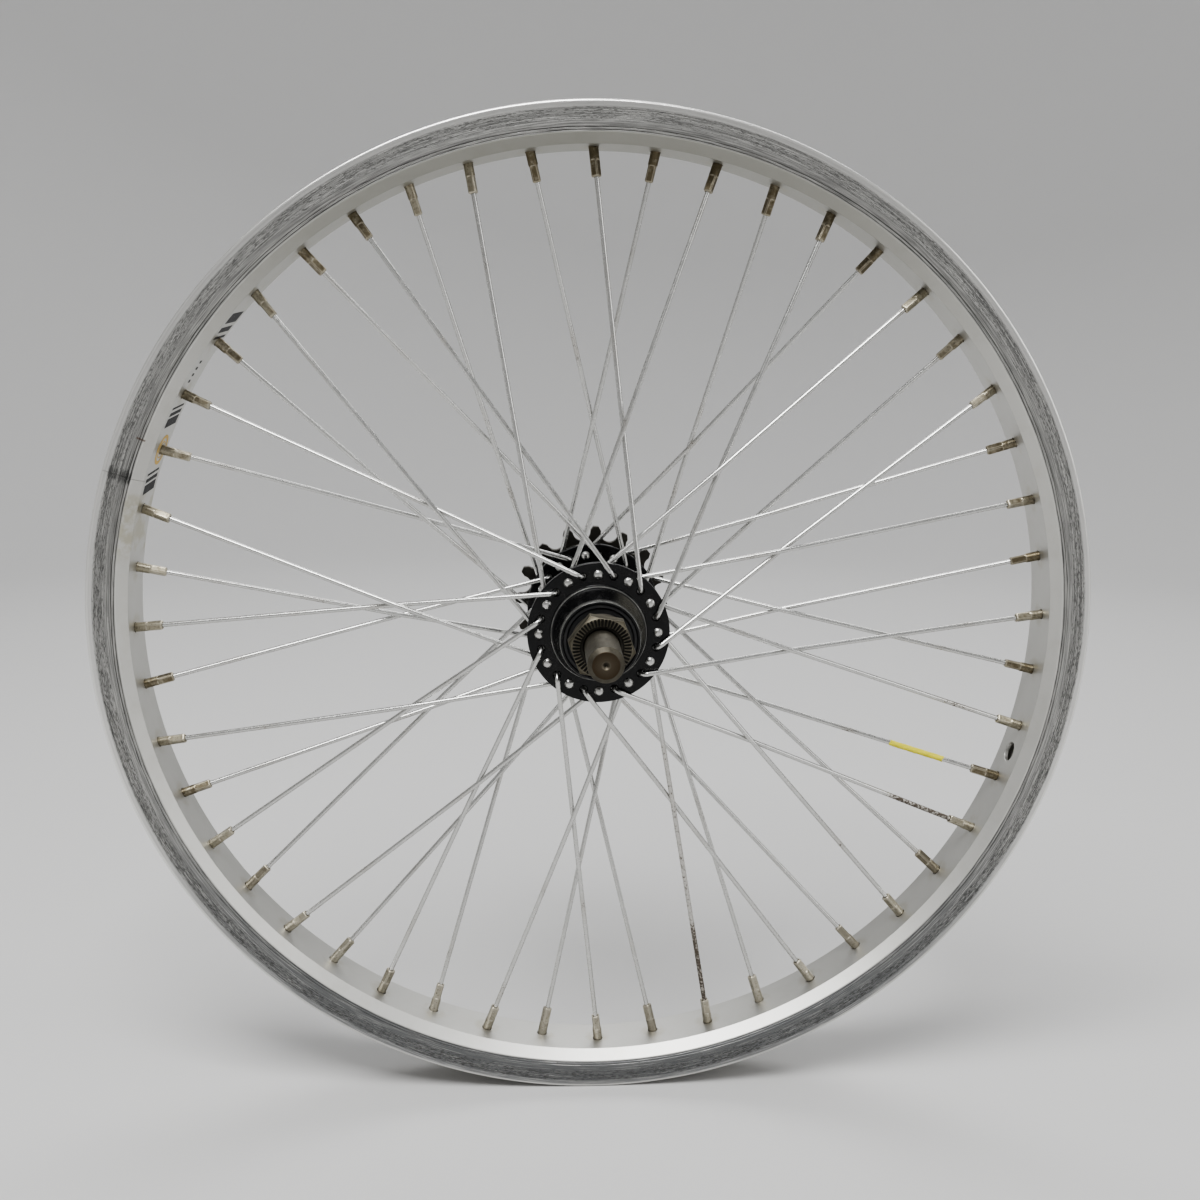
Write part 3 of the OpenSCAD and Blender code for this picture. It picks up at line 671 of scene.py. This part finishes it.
def tape_material():
    """Pale yellow tape, creased and slightly soiled."""
    s = Shader("yellow_tape")
    crease = s.noise(s.place(), 600.0, 4.0, 0.65, 0.6)
    soil = s.step(s.noise(s.place(), 240.0, 4.0, 0.6), 0.5, 0.8)
    base = s.mix(crease, (0.72, 0.63, 0.03), (0.85, 0.77, 0.08))
    s.set(Base_Color=s.mix(s.times(soil, 0.45), base, (0.38, 0.34, 0.12)),
          Roughness=s.mix(crease, 0.4, 0.6), Normal=s.bump(crease, 0.1, 0.7),
          Subsurface_Weight=0.05)
    return s.material


def decal_material(name, colour, chip):
    """Thin vinyl film, chipped along its edges."""
    s = Shader(name)
    wear = s.noise(s.place(), 500.0, 4.0, 0.65)
    share = s.step(wear, chip, chip + 0.1)
    s.set(Base_Color=s.mix(share, colour, (0.45, 0.44, 0.42)), Roughness=s.mix(wear, 0.4, 0.65),
          Specular_IOR_Level=0.25, Normal=s.bump(wear, 0.02, 0.5))
    return s.material


NUT_STEEL = worn_steel_material(
    "nut_steel", dark=(0.035, 0.031, 0.022), light=(0.115, 0.105, 0.075), brown=(0.055, 0.044, 0.027))
MATERIALS = {
    "rim_aluminium": rim_material(),
    "hub_black": hub_material(),
    "spoke_steel": spoke_material(),
    "nipple_brass": nipple_material(),
    "worn_steel": worn_steel_material(
        "worn_steel", dark=(0.06, 0.056, 0.045), light=(0.13, 0.124, 0.10), brown=(0.048, 0.033, 0.018)),
    "freewheel_steel": freewheel_material(),
    "bearing_steel": bearing_material(),
    "cage_brass": cage_material(),
    "black_rubber": rubber_material(),
    "yellow_tape": tape_material(),
}


# ------------ lacing

def polar(r, degrees):
    a = math.radians(degrees)
    return Vector((r * math.cos(a), r * math.sin(a), 0))


def rim_angle(index):
    return RIM_PHASE + index * PITCH


SPOKE_RUN = (polar(BED_R, CROSS) - polar(HOLE_CIRCLE, 0)).length


def knee_distance():
    """How far along a spoke, seen along the axle, its last crossing lies."""
    wanted = math.radians(2.5 * HOLE_STEP)
    low, high = 0.0, 1.0
    for _ in range(40):
        middle = (low + high) / 2
        point = polar(HOLE_CIRCLE, 0).lerp(polar(BED_R, CROSS), middle)
        if math.atan2(point.y, point.x) < wanted:
            low = middle
        else:
            high = middle
    return SPOKE_RUN * low


KNEE_AT = knee_distance()


def knee_height(elbow):
    return LACE_Y - elbow * LACE_GAP / 2


def last_slope(elbow):
    return math.atan2(knee_height(elbow) - STAGGER, SPOKE_RUN - KNEE_AT)


def hub_hole_matrix(index, family):
    """The frame at a spoke's hub hole: X towards its rim hole, Z outward from the wheel's plane."""
    _, direction, _, side = family
    start = polar(HOLE_CIRCLE, side * (rim_angle(index) - direction * CROSS))
    end = polar(BED_R, side * rim_angle(index))
    heading = math.atan2(end.y - start.y, end.x - start.x)
    base = ON_LEFT if side > 0 else ON_RIGHT
    return base @ Matrix.Translation(start) @ Matrix.Rotation(heading, 4, "Z")


def nipple_matrix(index, family):
    """The frame at a spoke's rim hole: Z outward along the nipple."""
    lean = Matrix.Rotation(math.pi / 2 + last_slope(family[2]), 4, "Y")
    seat = Matrix.Translation((SPOKE_RUN, 0, STAGGER))
    return hub_hole_matrix(index, family) @ seat @ lean


def indices(family):
    return [family[0] + 4 * i for i in range(PER_FAMILY)]


def spoke_path(elbow):
    """Centreline from inside the head, through the flange and the bend, to inside the nipple."""
    sink = 0.2
    rise = FLANGE_OUT - sink if elbow > 0 else FLANGE_IN + sink
    seat = FLANGE_IN if elbow > 0 else FLANGE_OUT
    run, drop = KNEE_AT - ELBOW_R, rise - knee_height(elbow)
    slope = elbow * math.asin(ELBOW_R / math.hypot(run, drop)) + math.atan2(drop, run)
    turn = math.pi / 2 + elbow * slope
    path = [Vector((0, 0, seat - elbow * 0.5)), Vector((0, 0, (seat + rise) / 2))]
    bends = 12
    for i in range(bends + 1):
        a = turn * i / bends
        path.append(Vector((ELBOW_R - ELBOW_R * math.cos(a), 0, rise + elbow * ELBOW_R * math.sin(a))))
    leave = path[-1]
    knee = Vector((KNEE_AT, 0, knee_height(elbow)))
    seat_point = Vector((SPOKE_RUN, 0, STAGGER))
    ahead = (seat_point - knee).normalized()
    back = (leave - knee).normalized()
    reach_of_bend = 1.6
    pieces = 10
    for i in range(1, pieces + 1):
        path.append(leave.lerp(knee + back * reach_of_bend, i / pieces))
    before, after = knee + back * reach_of_bend, knee + ahead * reach_of_bend
    for share in (0.25, 0.5, 0.75):
        path.append((1 - share) ** 2 * before + 2 * share * (1 - share) * knee + share ** 2 * after)
    end = seat_point + ahead
    pieces = 16
    for i in range(pieces + 1):
        path.append(after.lerp(end, i / pieces))
    return path


HEAD_CORNERS = [(0, -0.2), (1.95, -0.2), (1.95, 0.45, 0.25), (1.35, 1.15, 0.7), (0.7, 1.42, 0.4), (0, 1.5)]
HEAD = rounded(HEAD_CORNERS)

# Rusty stretches by rim hole: far end and near end, back from the bed, and strength
RUST = {37: [(52, 8, 0.62), (140, 48, 0.3)], 43: [(44, 8, 0.55)], 45: [(40, 26, 0.42)]}


def rust_of(index, path, rng):
    """Rust along one spoke: a few are badly marked near the rim, the others have odd spots."""
    spots = [(rng.uniform(20, SPOKE_RUN), rng.uniform(0.15, 0.38)) for _ in range(2)]
    values = []
    for point in path:
        back = SPOKE_RUN - point.x
        value = 0.0
        for far, near, share in RUST.get(index, ()):
            inside = min(far - back, back - near)
            value = max(value, share * max(0.0, min(1.0, inside / 4 + 0.5)))
        for place, share in spots:
            value = max(value, share * max(0.0, 1 - abs(point.x - place) / 7))
        values.append(value)
    return values


def spokes(name):
    """All spokes of one family, each with its head."""
    family = FAMILIES[name]
    rng = random.Random(name)
    sides = 20
    path = spoke_path(family[2])
    solids = Solids()
    wire_verts, wire_faces = tube(path, SPOKE_R, sides)
    head_verts, head_faces = revolve(HEAD, 28)
    elbow = family[2]
    seat = FLANGE_IN if elbow > 0 else FLANGE_OUT
    flip = Matrix.Rotation(math.pi if elbow > 0 else 0, 4, "X")
    for index in indices(family):
        here = hub_hole_matrix(index, family)
        rust = [value for value in rust_of(index, path, rng) for _ in range(sides)]
        solids.add(wire_verts, wire_faces, here, rust=rust)
        solids.add(head_verts, head_faces, here @ Matrix.Translation((0, 0, seat)) @ flip,
                   rust=rng.choice([0.0, 0.0, 0.12]))
    piece = solids.make(name + "_spokes")
    return dress(piece, MATERIALS["spoke_steel"], "wheel", ["spokes_" + name])


def squared(radius, flat):
    """Distance to the edge of a round bar with four flats, as a function of the angle."""
    def edge(angle):
        face = flat / 2 / max(abs(math.cos(angle)), abs(math.sin(angle)))
        return min(radius, face)
    return edge


def nipple_outline():
    body, head, flat = 2.0, 3.1, 3.3
    bore = SPOKE_R + 0.05
    end = -NIPPLE_SHOW
    square = squared(body, flat)
    tip = squared(body - 0.3, flat - 0.5)

    def squared_at(rise):
        return lambda a: (square(a), end + rise)

    return [
        (bore, end + 0.5), (bore + 0.15, end + 0.05),
        lambda a: (tip(a) - 0.12, end), lambda a: (tip(a), end + 0.06),
        squared_at(0.45), squared_at(0.9), squared_at(3.5), squared_at(6.0), squared_at(6.4),
        lambda a: (max(square(a), body - 0.04), end + 6.7), (body, end + 7.1),
        (body, end + 9), (body, NIPPLE_SEAT), (head, NIPPLE_SEAT + 0.03), (head, NIPPLE_SEAT + 1.4),
        (head - 0.25, NIPPLE_SEAT + 1.9), (head - 0.8, NIPPLE_SEAT + 2.2), (bore, NIPPLE_SEAT + 2.2)]


def nipples(side_name):
    """All nipples of one side, with a screwdriver slot across each head."""
    rng = random.Random("nipples " + side_name)
    solids, slots = Solids(), Solids()
    verts, faces = revolve(nipple_outline(), 40)
    slot_verts, slot_faces = box((-4, -0.55, NIPPLE_SEAT + 1.2), (4, 0.55, NIPPLE_SEAT + 4))
    for name, family in FAMILIES.items():
        if not name.startswith(side_name):
            continue
        for index in indices(family):
            here = nipple_matrix(index, family) @ Matrix.Rotation(rng.uniform(0, math.pi), 4, "Z")
            solids.add(verts, faces, here, tint=rng.random())
            slots.add(slot_verts, slot_faces, here)
    piece = solids.make(side_name + "_nipples")
    drill(piece, slots.make("slots"))
    return dress(piece, MATERIALS["nipple_brass"], "wheel", ["nipples_" + side_name])


def spoke_tape():
    """A strip of tape wrapped round one spoke, pinched flat and uneven at its ends."""
    start, length = 25.0, 24.5
    family = FAMILIES["right_inner"]
    rng = random.Random("tape")
    rows, sides = 40, 28
    verts, faces = [], []
    phases = [rng.uniform(0, 6.28) for _ in range(3)]
    for wall in (0, 1):
        for i in range(rows + 1):
            t = i / rows
            ragged = 0.25 * math.sin(9 * t + phases[0])
            for k in range(sides):
                a = 2 * math.pi * k / sides
                end_wave = 0.35 * math.sin(2 * a + phases[1]) * (1 if i in (0, rows) else 0)
                z = -start - length * (1 - t) + end_wave
                radius = 1.3 + 0.34 * abs(math.cos(a + 0.35 * ragged)) ** 3
                radius += 0.05 * math.sin(23 * t + 3 * a) + 0.04 * math.sin(61 * t - 2 * a + phases[2])
                radius = radius if wall == 0 else 1.03
                verts.append((radius * math.cos(a), radius * math.sin(a), z))
    ring = (rows + 1) * sides
    for wall, turn in ((0, 1), (1, -1)):
        for i in range(rows):
            for k in range(sides):
                j = (k + 1) % sides
                low, high = wall * ring + i * sides, wall * ring + (i + 1) * sides
                faces.append([low + k, low + j, high + j, high + k][::turn])
    for i, turn in ((0, -1), (rows, 1)):
        for k in range(sides):
            j = (k + 1) % sides
            outer, inner = i * sides, ring + i * sides
            faces.append([outer + k, outer + j, inner + j, inner + k][::turn])
    solids = Solids()
    solids.add(verts, faces, nipple_matrix(44, family))
    piece = solids.make("tape_wrap")
    return dress(piece, MATERIALS["yellow_tape"], "wheel", ["spoke_tape"], 60)


# ------------ rim

def rim_outline():
    """Half of the rim section, from the bed over the lip to the well."""
    groove = 0.2
    grooves = []
    for height in (0.8, 1.9):
        r = SHOULDER_R + height
        grooves += [(r - groove, RIM_HALF, 0.05), (r, RIM_HALF - 0.28, 0.08), (r + groove, RIM_HALF, 0.05)]
    inner = RIM_HALF - SIDE_WALL
    return [(BED_R, BED_HALF, 0.35), (SHOULDER_R, RIM_HALF, 0.5), *grooves,
            (SHOULDER_R + 3.2, RIM_HALF, 1.5), (SHOULDER_R + 6, RIM_HALF - 0.13, 3),
            (LIP_R - 3.2, RIM_HALF - 0.1, 2), (LIP_R - 2.2, RIM_HALF, 0.6),
            (LIP_R, RIM_HALF, 1.15), (LIP_R, RIM_HALF - 2.7, 1.0),
            (LIP_R - 2.4, inner - 0.5, 0.5), (LIP_R - 3.4, inner, 0.5), (SEAT_R, inner, 0.8),
            (SEAT_R, BED_HALF - 1.2, 1.2), (WELL_R, BED_HALF - 3.2, 1.2)]


def cavity_outline():
    inner = RIM_HALF - SIDE_WALL
    return [(BED_R + BED_WALL, BED_HALF - 0.9, 0.4), (SHOULDER_R + 0.6, inner, 0.4),
            (SEAT_R - SKIN, inner, 0.4), (SEAT_R - SKIN, BED_HALF - 0.7, 0.4),
            (WELL_R - SKIN, BED_HALF - 2.7, 0.4)]


def rim():
    segments = 960
    solids = Solids()
    solids.add(*revolve(rounded(mirrored(rim_outline()), 5), segments), ON_LEFT)
    solids.add(*revolve(rounded(mirrored(cavity_outline()), 2), segments, inward=True), ON_LEFT)
    piece = solids.make("rim_hoop")
    tools = Solids()
    hole, access = 2.25, 4.5
    bore = [(0, -3), (hole, -3), (hole, NIPPLE_SEAT), (access, NIPPLE_SEAT), (access, 14), (0, 14)]
    verts, faces = revolve(bore, 48)
    for family in FAMILIES.values():
        for index in indices(family):
            tools.add(verts, faces, nipple_matrix(index, family))
    valve = ON_LEFT @ Matrix.Rotation(math.radians(VALVE_ANGLE), 4, "Z")
    valve = valve @ Matrix.Rotation(math.pi / 2, 4, "Y")
    radius = VALVE["dims"]["r_mm"]
    edge = 0.35
    stem = [(0, BED_R - 2), (radius + edge + 2, BED_R - 2), (radius, BED_R + edge),
            (radius, WELL_R + 3), (0, WELL_R + 3)]
    tools.add(*revolve(stem, 64), valve)
    gap = 0.06
    seam = ON_LEFT @ Matrix.Rotation(math.radians(SEAM_ANGLE), 4, "Z")
    tools.add(*box((BED_R - 2, -gap, -RIM_HALF - 2), (LIP_R + 2, gap, RIM_HALF + 2)), seam)
    drill(piece, tools.make("rim_tools"))
    return dress(piece, MATERIALS["rim_aluminium"], "wheel", ["rim"], 50, edges=False)


def bed_patch(solids, from_angle, to_angle, from_y, to_y, slant=0.0):
    """A thin film on the bed between two angles, its ends slanted."""
    thick, columns, rows = 0.06, 24, 6
    verts, faces = [], []
    for lift in (0.02, thick):
        for i in range(columns + 1):
            for j in range(rows + 1):
                t, u = i / columns, j / rows
                angle = from_angle + (to_angle - from_angle) * t + slant * (u - 0.5)
                spot = polar(BED_R - lift, angle)
                verts.append((spot.x, spot.y, from_y + (to_y - from_y) * u))
    layer = (columns + 1) * (rows + 1)

    def corner(lift, i, j):
        return lift * layer + i * (rows + 1) + j

    for i in range(columns):
        for j in range(rows):
            low = [corner(0, i, j), corner(0, i + 1, j), corner(0, i + 1, j + 1), corner(0, i, j + 1)]
            faces.append(low)
            faces.append([v + layer for v in reversed(low)])
    for i in range(columns):
        for j, turn in ((0, -1), (rows, 1)):
            side = [corner(0, i, j), corner(0, i + 1, j), corner(1, i + 1, j), corner(1, i, j)]
            faces.append(side[::turn])
    for j in range(rows):
        for i, turn in ((0, 1), (columns, -1)):
            side = [corner(0, i, j), corner(0, i, j + 1), corner(1, i, j + 1), corner(1, i, j)]
            faces.append(side[::turn])
    solids.add(verts, faces, ON_LEFT)


def flat_ring(inner, outer):
    """A thin ring of film round rim hole 20, bent to the bed."""
    verts, faces = revolve([(inner, -0.02), (outer, -0.02), (outer, -0.09), (inner, -0.09)], 96)
    bent = []
    for x, y, z in verts:
        spot = polar(BED_R + z, rim_angle(20) + math.degrees(x / BED_R))
        bent.append((spot.x, spot.y, y - STAGGER))
    return bent, faces


def decals():
    """Plain bars on the bed, and a gold ring round one nipple between them."""
    dark = Solids()
    middle = rim_angle(20)
    half = 7.5
    for base in (middle - 4.4, middle + 4.2):
        for start, width in ((0, 1.2), (-0.8, 0.5), (-1.5, 0.3)):
            bed_patch(dark, base + start, base + start + width, -half, half, 0.5)
    for start, width in ((-19.4, 1.6), (-17.2, 0.8), (-15.8, 0.4)):
        bed_patch(dark, middle + start, middle + start + width, -half, half, 0.5)
    for i in range(4):
        start = middle - 12.2 + 0.9 * i
        bed_patch(dark, start, start + 0.4, 2.5, 5.0)
    piece = dark.make("bed_bars")
    film = decal_material("dark_film", (0.012, 0.012, 0.013), 0.66)
    dress(piece, film, "wheel", edges=False)
    gold = Solids()
    for inner, outer in ((5.1, 6.6), (3.3, 3.9)):
        gold.add(*flat_ring(inner, outer), ON_LEFT)
    piece = gold.make("gold_ring")
    film = decal_material("gold_film", (0.62, 0.42, 0.12), 0.66)
    dress(piece, film, "wheel", edges=False)


# ------------ hub, axle and nuts

def flange_tools(side, base):
    """Countersunk spoke holes for one flange."""
    solids = Solids()
    hole, sink = SPOKE_R + 0.3, 0.5
    outline = [(0, FLANGE_IN - 2), (hole + sink + 2, FLANGE_IN - 2), (hole, FLANGE_IN + sink),
               (hole, FLANGE_OUT - sink), (hole + sink + 0.6, FLANGE_OUT + 0.6), (0, FLANGE_OUT + 0.6)]
    verts, faces = revolve(outline, 40)
    for index in range(SPOKES // 2):
        angle = side * (rim_angle(1 if side > 0 else 0) - CROSS) + index * HOLE_STEP
        solids.add(verts, faces, base @ Matrix.Translation(polar(HOLE_CIRCLE, angle)))
    return solids


def hub_outline():
    """The whole shell, bore side to the right end, as (radius, station) with left positive."""
    barrel = 14.5
    left_boss = [(FLANGE_R, FLANGE_IN, 0.45), (FLANGE_R, FLANGE_OUT, 0.45),
                 (BOSS_R + 0.35, FLANGE_OUT, 0.5), (BOSS_R, FLANGE_OUT + 1.6, 0.35),
                 (BOSS_R - 0.9, FLANGE_OUT + 1.8, 0.3),
                 (BOSS_R - 1.9, FLANGE_OUT + 5, 4), (BOSS_END_R + 0.5, HUB_END - 4, 4),
                 (BOSS_END_R + 0.15, HUB_END - 1.2, 0.2), (BOSS_END_R, HUB_END - 1.0, 0.1),
                 (BOSS_END_R, HUB_END, 0.35), (SEAL_R + 0.02, HUB_END, 0.25)]
    bore = [(SEAL_R + 0.02, BEARING_OUT + 0.2), (14.02, BEARING_OUT + 0.2), (14.02, 33), (11.8, 33),
            (11.8, -33), (14.02, -33), (14.02, -BEARING_OUT - 0.2), (SEAL_R + 0.02, -BEARING_OUT - 0.2)]
    right_boss = [(SEAL_R + 0.02, -HUB_END), (THREAD_R, -HUB_END, 0.6), (THREAD_R, -THREAD_SHOULDER, 0.1),
                  (BOSS_R, -THREAD_SHOULDER, 0.4), (BOSS_R, -FLANGE_OUT, 0.5),
                  (FLANGE_R, -FLANGE_OUT, 0.45), (FLANGE_R, -FLANGE_IN, 0.45)]
    waist = [(19, -FLANGE_IN, 1.5), (16.2, -FLANGE_IN + 2.5, 2), (barrel, -16, 4),
             (barrel, 16, 4), (16.2, FLANGE_IN - 2.5, 2), (19, FLANGE_IN, 1.5)]
    return left_boss + bore + right_boss + waist


def hub():
    solids = Solids()
    solids.add(*revolve(rounded(hub_outline(), 5), 256), ON_LEFT)
    piece = solids.make("hub_body")
    drill(piece, flange_tools(1, ON_LEFT).make("left_tools"))
    drill(piece, flange_tools(-1, ON_RIGHT).make("right_tools"))
    return dress(piece, MATERIALS["hub_black"], "wheel", ["hub_shell"], 40)


def threaded(radius, low, high, pitch, depth):
    """Outline points of a thread drawn as rings between two stations."""
    points = []
    count = int((high - low) / pitch)
    for i in range(count):
        z = low + i * pitch
        points += [(radius, z + 0.12 * pitch), (radius, z + 0.45 * pitch)]
        points.append((radius - depth, z + 0.75 * pitch))
    return points


def axle():
    """The axle: plain middle, bearing journals, fine thread worn almost smooth, chamfered ends."""
    tip = 5.1
    thread = threaded(AXLE_R, 48.0, AXLE_END - 2.2, 1.0, 0.09)
    half = [(8.5, 20), (8.5, 33), (7.5, 33), (7.5, 47), (AXLE_R, 47.4), *thread]
    centre_r = 1.9
    chamfer = [(AXLE_R, AXLE_END - 2.0), (AXLE_R, AXLE_END - 1.5, 0.3),
               (tip, AXLE_END, 0.25), (centre_r, AXLE_END)]
    half += rounded(chamfer, 3, 0.2)[:-1]
    half += [(centre_r, AXLE_END), (1.5, AXLE_END - 0.15), (0.4, AXLE_END - 1.7), (0, AXLE_END - 1.8)]
    outline = [(r, -z) for r, z in reversed(half)] + half
    verts, faces = revolve(outline, 96)
    brown = [float(abs(v[2]) > AXLE_END - 0.2 and math.hypot(v[0], v[1]) < tip + 0.1) for v in verts]
    solids = Solids()
    solids.add(verts, faces, ON_LEFT, brown=brown)
    return dress(solids.make("axle_bar"), MATERIALS["worn_steel"], "axle_set", ["axle"], 50)


def hexagon(corner, turn):
    """Distance to the edge of a hexagon, as a function of the angle."""
    flat = corner * math.cos(math.radians(30))

    def edge(angle):
        off = (math.degrees(angle) - turn) % 60 - 30
        return flat / math.cos(math.radians(off))
    return edge


def locknut(side_name, base):
    """Hexagon locknut with a ring of radial teeth that bites the frame."""
    teeth, steps = 48, 12
    segments = teeth * steps
    edge = hexagon(NUT_CORNER, NUT_TURN)
    flat = NUT_CORNER * math.cos(math.radians(30))
    low, face = SPACER_END + 0.02, NUT_FACE - 0.5
    round_off = 0.35

    def side_at(z_drop, shrink):
        return lambda a: (edge(a) - shrink, z_drop(edge(a)))

    def top(r):
        return face - max(0.0, r - flat + 0.1) * 0.6

    def bottom(r):
        return low + max(0.0, r - flat) * 0.4

    def ridge(a):
        phase = (a / (2 * math.pi) * teeth) % 1
        return max(0.0, min(1.0, 1.35 - abs(phase - 0.5) * 4.2))

    def tooth(r, share):
        return lambda a: (r, face + 0.5 * share * ridge(a) - 0.35 * (1 - ridge(a)) * (share > 0.5))

    outline = [
        (AXLE_R + 0.05, low + 0.6), (AXLE_R + 0.55, low),
        lambda a: (flat - 0.5, low), side_at(bottom, 0.3), side_at(lambda r: bottom(r) + 0.3, 0.0),
        side_at(lambda r: top(r) - round_off - 1.0, 0.0), side_at(lambda r: top(r) - round_off, 0.0),
        side_at(lambda r: top(r) - 0.1, 0.08), side_at(top, 0.25),
        lambda a: (min(edge(a) - 0.3, flat - 0.02), face),
        tooth(11.6, 0.0), tooth(11.5, 0.6), tooth(11.3, 1.0),
        tooth(9.9, 1.0), tooth(8.9, 0.95), tooth(8.7, 0.5),
        (8.6, face - 0.45), (8.6, face - 1.5), (AXLE_R + 0.5, face - 1.6), (AXLE_R + 0.05, face - 2.1)]
    verts, faces = revolve(outline, segments)
    dirt = []
    for v in verts:
        r, a = math.hypot(v[0], v[1]), math.atan2(v[1], v[0]) % (2 * math.pi)
        in_teeth = 8.65 < r < 11.45 and v[2] > face - 0.4
        # dirt here is grime between the teeth, and painted shadow in the nut's recessed bore
        in_bore = r < 8.65 and v[2] > face - 2.2
        dirt.append(1 - ridge(a) if in_teeth else 0.85 * in_bore)
    solids = Solids()
    solids.add(verts, faces, base, dirt=dirt)
    return dress(solids.make(side_name + "_serrated_nut"), NUT_STEEL, "axle_set",
                 [side_name + "_locknut"], 30)


def spacer(side_name, base):
    low, flange = BEARING_OUT + 0.05, SPACER_END - 2
    bore, sleeve, rim_r = 7.52, 9.3, 12
    outline = rounded([(bore, low), (sleeve, low, 0.2), (sleeve, flange, 0.3), (rim_r, flange, 0.3),
                       (rim_r, SPACER_END, 0.4), (bore, SPACER_END)], 3)
    solids = Solids()
    solids.add(*revolve(outline, 128), base, dirt=0.55)
    return dress(solids.make(side_name + "_cone_spacer"), MATERIALS["worn_steel"], "axle_set",
                 [side_name + "_spacer"], 40)


def dust_seal(side_name, base):
    """Rubber seal with a thick rim, a thin web and a lip against the spacer."""
    low, high = BEARING_OUT + 0.4, HUB_END - 0.3
    back = [(9.6, low + 0.1, 0.1), (10.4, low + 0.5, 0.2), (12.6, low + 0.45, 0.3), (13.1, low, 0.2)]
    edge = [(SEAL_R, low, 0.15), (SEAL_R, high - 0.2, 0.3)]
    front = [(13.6, high, 0.3), (13.0, high - 0.7, 0.3), (10.9, high - 0.6, 0.3),
             (9.9, high, 0.2), (9.6, high, 0.1)]
    outline = rounded(back + edge + front, 3, 0.1)
    solids = Solids()
    solids.add(*revolve(outline, 128), base)
    piece = solids.make(side_name + "_rubber_seal")
    return dress(piece, MATERIALS["black_rubber"], "wheel", [side_name + "_dust_seal"], 50)


def carried_over():
    """Gives every CAD node the material of its slot in the record."""
    slots = {part["node"]: part["material_slot"] for part in frame["record"]["subparts"]}
    for name, node in frame["nodes"].items():
        node.data.materials.clear()
        node.data.materials.append(MATERIALS[slots[name]])


# ------------ stage

def stage():
    """A pale floor that rises all round into a wall, wide enough to hold the camera at any view."""
    floor_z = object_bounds()[0].z / MM
    flat, bend, top = 1500, 900, 2600
    outline = [(0, 0), (flat, 0)]
    for i in range(1, 13):
        a = math.radians(90 * i / 12)
        outline.append((flat + bend * math.sin(a), bend - bend * math.cos(a)))
    outline += [(flat + bend, top), (flat + bend + 5, top), (flat + bend + 5, -5), (0, -5)]
    solids = Solids()
    solids.add(*revolve(outline, 128), Matrix.Translation((0, 0, floor_z)))
    floor = solids.make("studio_floor")
    floor.data.polygons.foreach_set("use_smooth", [True] * len(floor.data.polygons))
    floor.data.set_sharp_from_angle(angle=math.radians(40))
    s = Shader("studio_paper")
    s.set(Base_Color=(0.60, 0.597, 0.592, 1), Roughness=0.9)
    floor.data.materials.append(s.material)
    floor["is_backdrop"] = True


def area_light(name, location, target, size, power, colour=(1, 1, 1)):
    data = bpy.data.lights.new(name, "AREA")
    data.shape = "RECTANGLE"
    data.size, data.size_y = size
    data.energy = power
    data.color = colour
    light = bpy.data.objects.new(name, data)
    bpy.context.scene.collection.objects.link(light)
    light.location = location
    aim = Vector(target) - Vector(location)
    light.rotation_euler = aim.to_track_quat("-Z", "Y").to_euler()


def lights():
    bpy.context.scene.view_settings.look = "AgX - Medium High Contrast"
    world = bpy.data.worlds.new("studio")
    bpy.context.scene.world = world
    world.use_nodes = True
    world.node_tree.nodes["Background"].inputs[0].default_value = (0.95, 0.97, 1.0, 1)
    world.node_tree.nodes["Background"].inputs[1].default_value = 0.32
    area_light("key", (-0.35, -0.75, 1.6), (0, 0, 0), (1.2, 0.8), 34)
    area_light("fill", (1.5, -0.7, 0.7), (0, 0, 0), (0.9, 1.2), 6)
    area_light("back", (0.3, 1.2, 1.3), (0, 0, 0), (1.4, 0.7), 12)


def camera():
    """The viewpoint: in front of the left side, a little high and to the left."""
    data = bpy.data.cameras.new("camera")
    data.sensor_width = 36
    data.lens = 40.34
    view = bpy.data.objects.new("camera", data)
    bpy.context.scene.collection.objects.link(view)
    forward = Vector((0.0514, 0.9807, -0.1887)).normalized()
    up = Vector((0, 0.1889, 0.982))
    right = forward.cross(up).normalized()
    up = right.cross(forward)
    turn = Matrix((right, up, -forward)).transposed().to_4x4()
    view.matrix_world = Matrix.Translation((-0.0277, -0.5631, 0.1170)) @ turn
    data.clip_start = 0.01
    data.clip_end = 50
    bpy.context.scene.camera = view


# ------------ the whole wheel

carried_over()
rim()
decals()
for family_name in FAMILIES:
    spokes(family_name)
nipples("left")
nipples("right")
spoke_tape()
hub()
axle()
for side, base in (("left", ON_LEFT), ("right", ON_RIGHT)):
    locknut(side, base)
    spacer(side, base)
    dust_seal(side, base)
stage()
lights()
camera()
